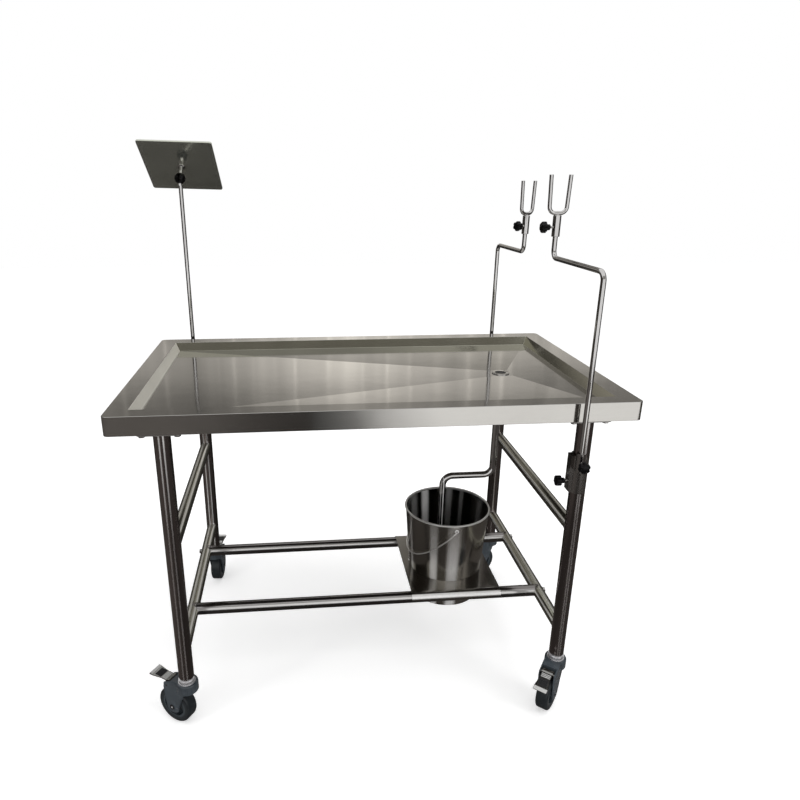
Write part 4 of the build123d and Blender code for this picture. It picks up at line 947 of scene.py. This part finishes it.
# Rods and limb forks: bright chromed bar, cold bent, with the fork welded to a sleeve that is held on
# the rod by a star knob. The rod for the board is straight and milled to a tongue at its top.
ROD_FOOT, FORK_SLEEVE, CRANK_BEND, PRONG_BEND = SADDLE_Z + SLEEVE_RISE - 0.002, 0.050, 0.020, 0.015
FORK_CAP, FORK_SLEEVE_R, PRONG_R, PRONG_GAP, PRONG_FLARE = 0.008, 0.0097, 0.0048, 0.042, 0.003
PRONG_HEIGHT, FORK_KNOB_RISE, FORK_TOP, FORK_BORE_R = 0.092, 0.022, 0.100, ROD_R + 0.00005
ROD_CHROME = (0.40, 0.39, 0.385), (0.76, 0.75, 0.74), 0.035, 0.10, "Z", 130.0, 0.03
chrome = steel("rod_chrome", *ROD_CHROME)
for name, crank_turn, reach, height, fork_turn in (
    ("front_right", radians(1), 0.268, 1.160, 0),
    ("rear_right", radians(182.3), 0.213, 1.146, radians(28)),
):
    foot = Matrix.Translation(rod_places[name]) @ Matrix.Rotation(crank_turn, 4, "Z")
    rod = bmesh.new()
    top_z = height + FORK_TOP - FORK_CAP - SEAT
    crank = [(0, 0, ROD_FOOT + 0.001), (0, 0, height), (0, reach, height), (0, reach, top_z)]
    follow(rod, [(0, 0, ROD_FOOT)] + filleted(crank, CRANK_BEND, 16), ROD_R, 48)
    move_shape(rod, foot)
    node = f"cranked_rod_{name}"
    build(rod, f"{node}_bar", chrome, f"rod_{name}", [node], crisp=50, soft=0.0004)
    seat = (
        foot
        @ Matrix.Translation((0, reach, height + FORK_TOP))
        @ Matrix.Rotation(fork_turn - crank_turn, 4, "Z")
    )
    fork = bmesh.new()
    half = PRONG_GAP / 2
    prongs = [
        (-half - PRONG_FLARE, 0, PRONG_HEIGHT), (-half, 0, PRONG_R), (half, 0, PRONG_R),
        (half + PRONG_FLARE, 0, PRONG_HEIGHT),
    ]
    follow(fork, filleted(prongs, PRONG_BEND, 14), PRONG_R, 32)
    turned(
        fork,
        [
            (FORK_BORE_R, -FORK_CAP), (FORK_BORE_R, -FORK_SLEEVE), (FORK_SLEEVE_R - 0.0006, -FORK_SLEEVE),
            (FORK_SLEEVE_R, -FORK_SLEEVE + 0.0006), (FORK_SLEEVE_R, -0.0012), (FORK_SLEEVE_R - 0.0012, 0),
            (PRONG_R + 0.0016, 0), (PRONG_R + 0.0002, 0.0016), (PRONG_R * 0.6, 0.0030),
        ],
        Matrix(),
        64,
    )
    move_shape(fork, seat)
    node = f"limb_fork_{name}"
    build(fork, f"{node}_bar", chrome, f"fork_{name}", [node], crisp=40, soft=0.0012)
    bite = Matrix.Translation((-ROD_R - SEAT, 0, FORK_KNOB_RISE - FORK_SLEEVE))
    tip = seat @ bite @ Matrix.Rotation(pi, 4, "Z")
    star_knob(f"fork_knob_{name}", FORK_SLEEVE_R - ROD_R - SEAT + SCREW_SHOW, tip)

# The board rod is painted near black above the ball's seat, where it runs into the ball: painted shade.
BALL_SEAT_Z, BALL_CLEAR_Z, SHADE_IN_THE_BALL = 1.3275, 1.3245, 0.015
board_rod_chrome = steel(
    "board_rod_chrome", *ROD_CHROME, fade=("Z", BALL_SEAT_Z, BALL_CLEAR_Z, SHADE_IN_THE_BALL)
)
dress(board_rod_chrome, "board_rod")


# Ball joint and instrument board: a black ball on the milled end of the rod, with a chromed stem that
# is screwed into it and spot welded to a square tray of mirror polished sheet with turned-up edges.
BALL_Z, BALL_TURN, BALL_LEAN, BOARD_TURN = 1.340, radians(-5.1), radians(-37), radians(2.2)
STEM_R, STEM_SEAT, STEM_REACH, FOOT_R = 0.0065, 0.010, 0.041, 0.0110
BOARD, BOARD_SHEET, BOARD_LIP, BOARD_CORNER = 0.211, 0.0015, 0.005, 0.007
ball_place = (
    Matrix.Translation(rod_places["rear_left"])
    @ Matrix.Rotation(BALL_TURN, 4, "Z")
    @ Matrix.Translation((0, 0, BALL_Z))
    @ Matrix.Rotation(BALL_LEAN, 4, "X")
)
dress(knob_black, "ball_joint")
board_place = ball_place @ Matrix.Rotation(BOARD_TURN, 4, "Z")
board = bmesh.new()
outline = loop_of(board, BOARD, BOARD, STEM_REACH + BOARD_LIP, BOARD_CORNER)
foot = carry_on(board, outline, Matrix.Translation((0, 0, -BOARD_LIP)))
bmesh.ops.edgeloop_fill(board, edges=foot)
bmesh.ops.recalc_face_normals(board, faces=board.faces)
if sum(face.normal.z * face.calc_area() for face in board.faces if abs(face.normal.z) > 0.9) > 0:
    bmesh.ops.reverse_faces(board, faces=board.faces)
move_shape(board, board_place)
board_steel = steel(
    "board_steel", (0.36, 0.375, 0.32), (0.78, 0.79, 0.70), 0.07, 0.18, "X", 500.0, 0.05, metal=0.92
)
piece = build(board, "board_sheet", board_steel, "board", ["instrument_board"], crisp=30)
thicken(piece, BOARD_SHEET, fold=0.0006)
stem = bmesh.new()
turned(
    stem,
    [
        (0, STEM_SEAT), (STEM_R - 0.0006, STEM_SEAT), (STEM_R, STEM_SEAT + 0.0006),
        (STEM_R, STEM_REACH - 0.0042), (STEM_R + 0.0008, STEM_REACH - 0.0028),
        (FOOT_R - 0.0010, STEM_REACH - 0.0020), (FOOT_R, STEM_REACH - 0.0012),
        (FOOT_R, STEM_REACH - 0.0001), (0, STEM_REACH - 0.0001),
    ],
    board_place,
    64,
)
build(stem, "board_stem", chrome, "board", [], crisp=40)


# Casters: a plated stem with a race ring plugs into each leg; a moulded hood carries the wheel on its
# axle and a sprung brake pedal of pressed steel. The tyres are grey rubber on a moulded hub.
WHEEL_R, TRAIL, HOOD_WIDTH = 0.050, 0.038, 0.044
PEDAL_X, PEDAL_Z, PEDAL_RISE, PEDAL_SHEET, PEDAL_RIB_R = 0.052, 0.114, 0.005, 0.003, 0.0016
PEDAL_LENGTH, PEDAL_LIP, PEDAL_LIP_WIDTH, PEDAL_WIDTH = 0.060, 0.010, 0.036, 0.028
HEEL_START, HEEL_STEP, HEEL_R, PAD_START, PAD_STEP, PAD_R = 0.010, 0.0042, 0.0013, 0.0265, 0.0034, 0.0017
CASTER_ANGLES = {"front_left": 147, "front_right": 229, "rear_left": 84, "rear_right": 200}
PEDAL_TURNS = {"front_left": -2, "front_right": 20, "rear_left": -2, "rear_right": -2}
fork_grey = plastic("fork_grey", (0.032, 0.040, 0.048), (0.090, 0.107, 0.122), 0.16, 0.34, 1300.0, 0.06, 0.45)
tyre_grey = plastic("tyre_grey", (0.015, 0.019, 0.022), (0.044, 0.051, 0.056), 0.26, 0.46, 1500.0, 0.08)
hub_grey = plastic("hub_grey", (0.034, 0.044, 0.051), (0.085, 0.100, 0.112), 0.20, 0.36, 1300.0, 0.06, 0.3)
pad_black = plastic(
    "brake_pad_rubber", (0.010, 0.010, 0.011), (0.034, 0.034, 0.037), 0.22, 0.40, 1500.0, 0.08
)
pedal_steel = steel("pedal_steel", (0.20, 0.20, 0.19), (0.42, 0.415, 0.40), 0.16, 0.30, "Y", 500.0, 0.12)
# Bright steel of the pedal ribs; the same finish paints the highlight on the axle ends.
rib_and_highlight_steel = steel(
    "rib_and_highlight_steel", (0.66, 0.66, 0.65), (0.92, 0.92, 0.91), 0.16, 0.28, "Y", 500.0, 0.05, metal=0.35
)
axle_steel = steel("axle_steel", (0.10, 0.11, 0.12), (0.24, 0.25, 0.27), 0.16, 0.30, "Z", 500.0, 0.05)
collar_chrome = steel(
    "collar_chrome", (0.74, 0.735, 0.75), (0.92, 0.915, 0.93), 0.16, 0.30, "Z", 500.0, 0.05, metal=0.8
)
dress(collar_chrome, "caster_stems")


def across_pedal(shape, x, z, half, radius, place):
    """A rounded bar that lies across the pedal's plate."""
    profile = [(0, -half), (radius - 0.0004, -half), (radius, -half + 0.0004), (radius, half - 0.0004)]
    profile += [(radius - 0.0004, half), (0, half)]
    turned(shape, profile, place @ Matrix.Translation((x, 0, z)) @ Matrix.Rotation(pi / 2, 4, "X"), 24)


for corner, (side_x, side_y) in CORNERS.items():
    for part, look in (("fork", fork_grey), ("tyre", tyre_grey), ("hub", hub_grey), ("axle", axle_steel)):
        dress(look, f"caster_{part}_{corner}")
    dress(pedal_steel, f"brake_pedal_{corner}")
    stem_place = TABLE @ Matrix.Translation((side_x * LEG_X, side_y * LEG_Y, 0))
    caster = stem_place @ Matrix.Rotation(radians(CASTER_ANGLES[corner]), 4, "Z")
    turn = Matrix.Rotation(radians(PEDAL_TURNS[corner]), 4, "Y")
    pedal = caster @ Matrix.Translation((PEDAL_X, 0, PEDAL_Z)) @ turn
    face = PEDAL_RISE + PEDAL_SHEET
    ribs = bmesh.new()
    for step in (-1, 0, 1):
        x = PEDAL_LENGTH - PEDAL_LIP / 2 + step * PEDAL_LIP / 3
        across_pedal(ribs, x, face, PEDAL_LIP_WIDTH / 2 - 0.0002, PEDAL_RIB_R + 0.0002, pedal)
    for step in range(3):
        across_pedal(ribs, HEEL_START + step * HEEL_STEP, face, PEDAL_WIDTH / 2 - 0.002, HEEL_R, pedal)
    build(ribs, f"brake_pedal_ribs_{corner}", rib_and_highlight_steel, f"pedal_{corner}", [], crisp=40)
    # A small bright dome on each axle end is a painted highlight.
    axle_highlights = bmesh.new()
    for side in (-1, 1):
        end = caster @ Matrix.Translation((TRAIL, side * HOOD_WIDTH / 2, WHEEL_R))
        dome = [(0, 0.0032), (0.0012, 0.0029), (0.0022, 0.0020), (0.0022, 0.0008), (0, 0.0008)]
        turned(axle_highlights, dome, end @ Matrix.Rotation(-side * pi / 2, 4, "X"), 20)
    build(axle_highlights, f"axle_highlight_domes_{corner}", rib_and_highlight_steel, f"caster_{corner}", [], crisp=40)
    pad = bmesh.new()
    for step in range(6):
        across_pedal(pad, PAD_START + step * PAD_STEP, face, PEDAL_WIDTH / 2 - 0.0015, PAD_R, pedal)
    build(pad, f"brake_pad_{corner}", pad_black, f"pedal_{corner}", [], crisp=40)
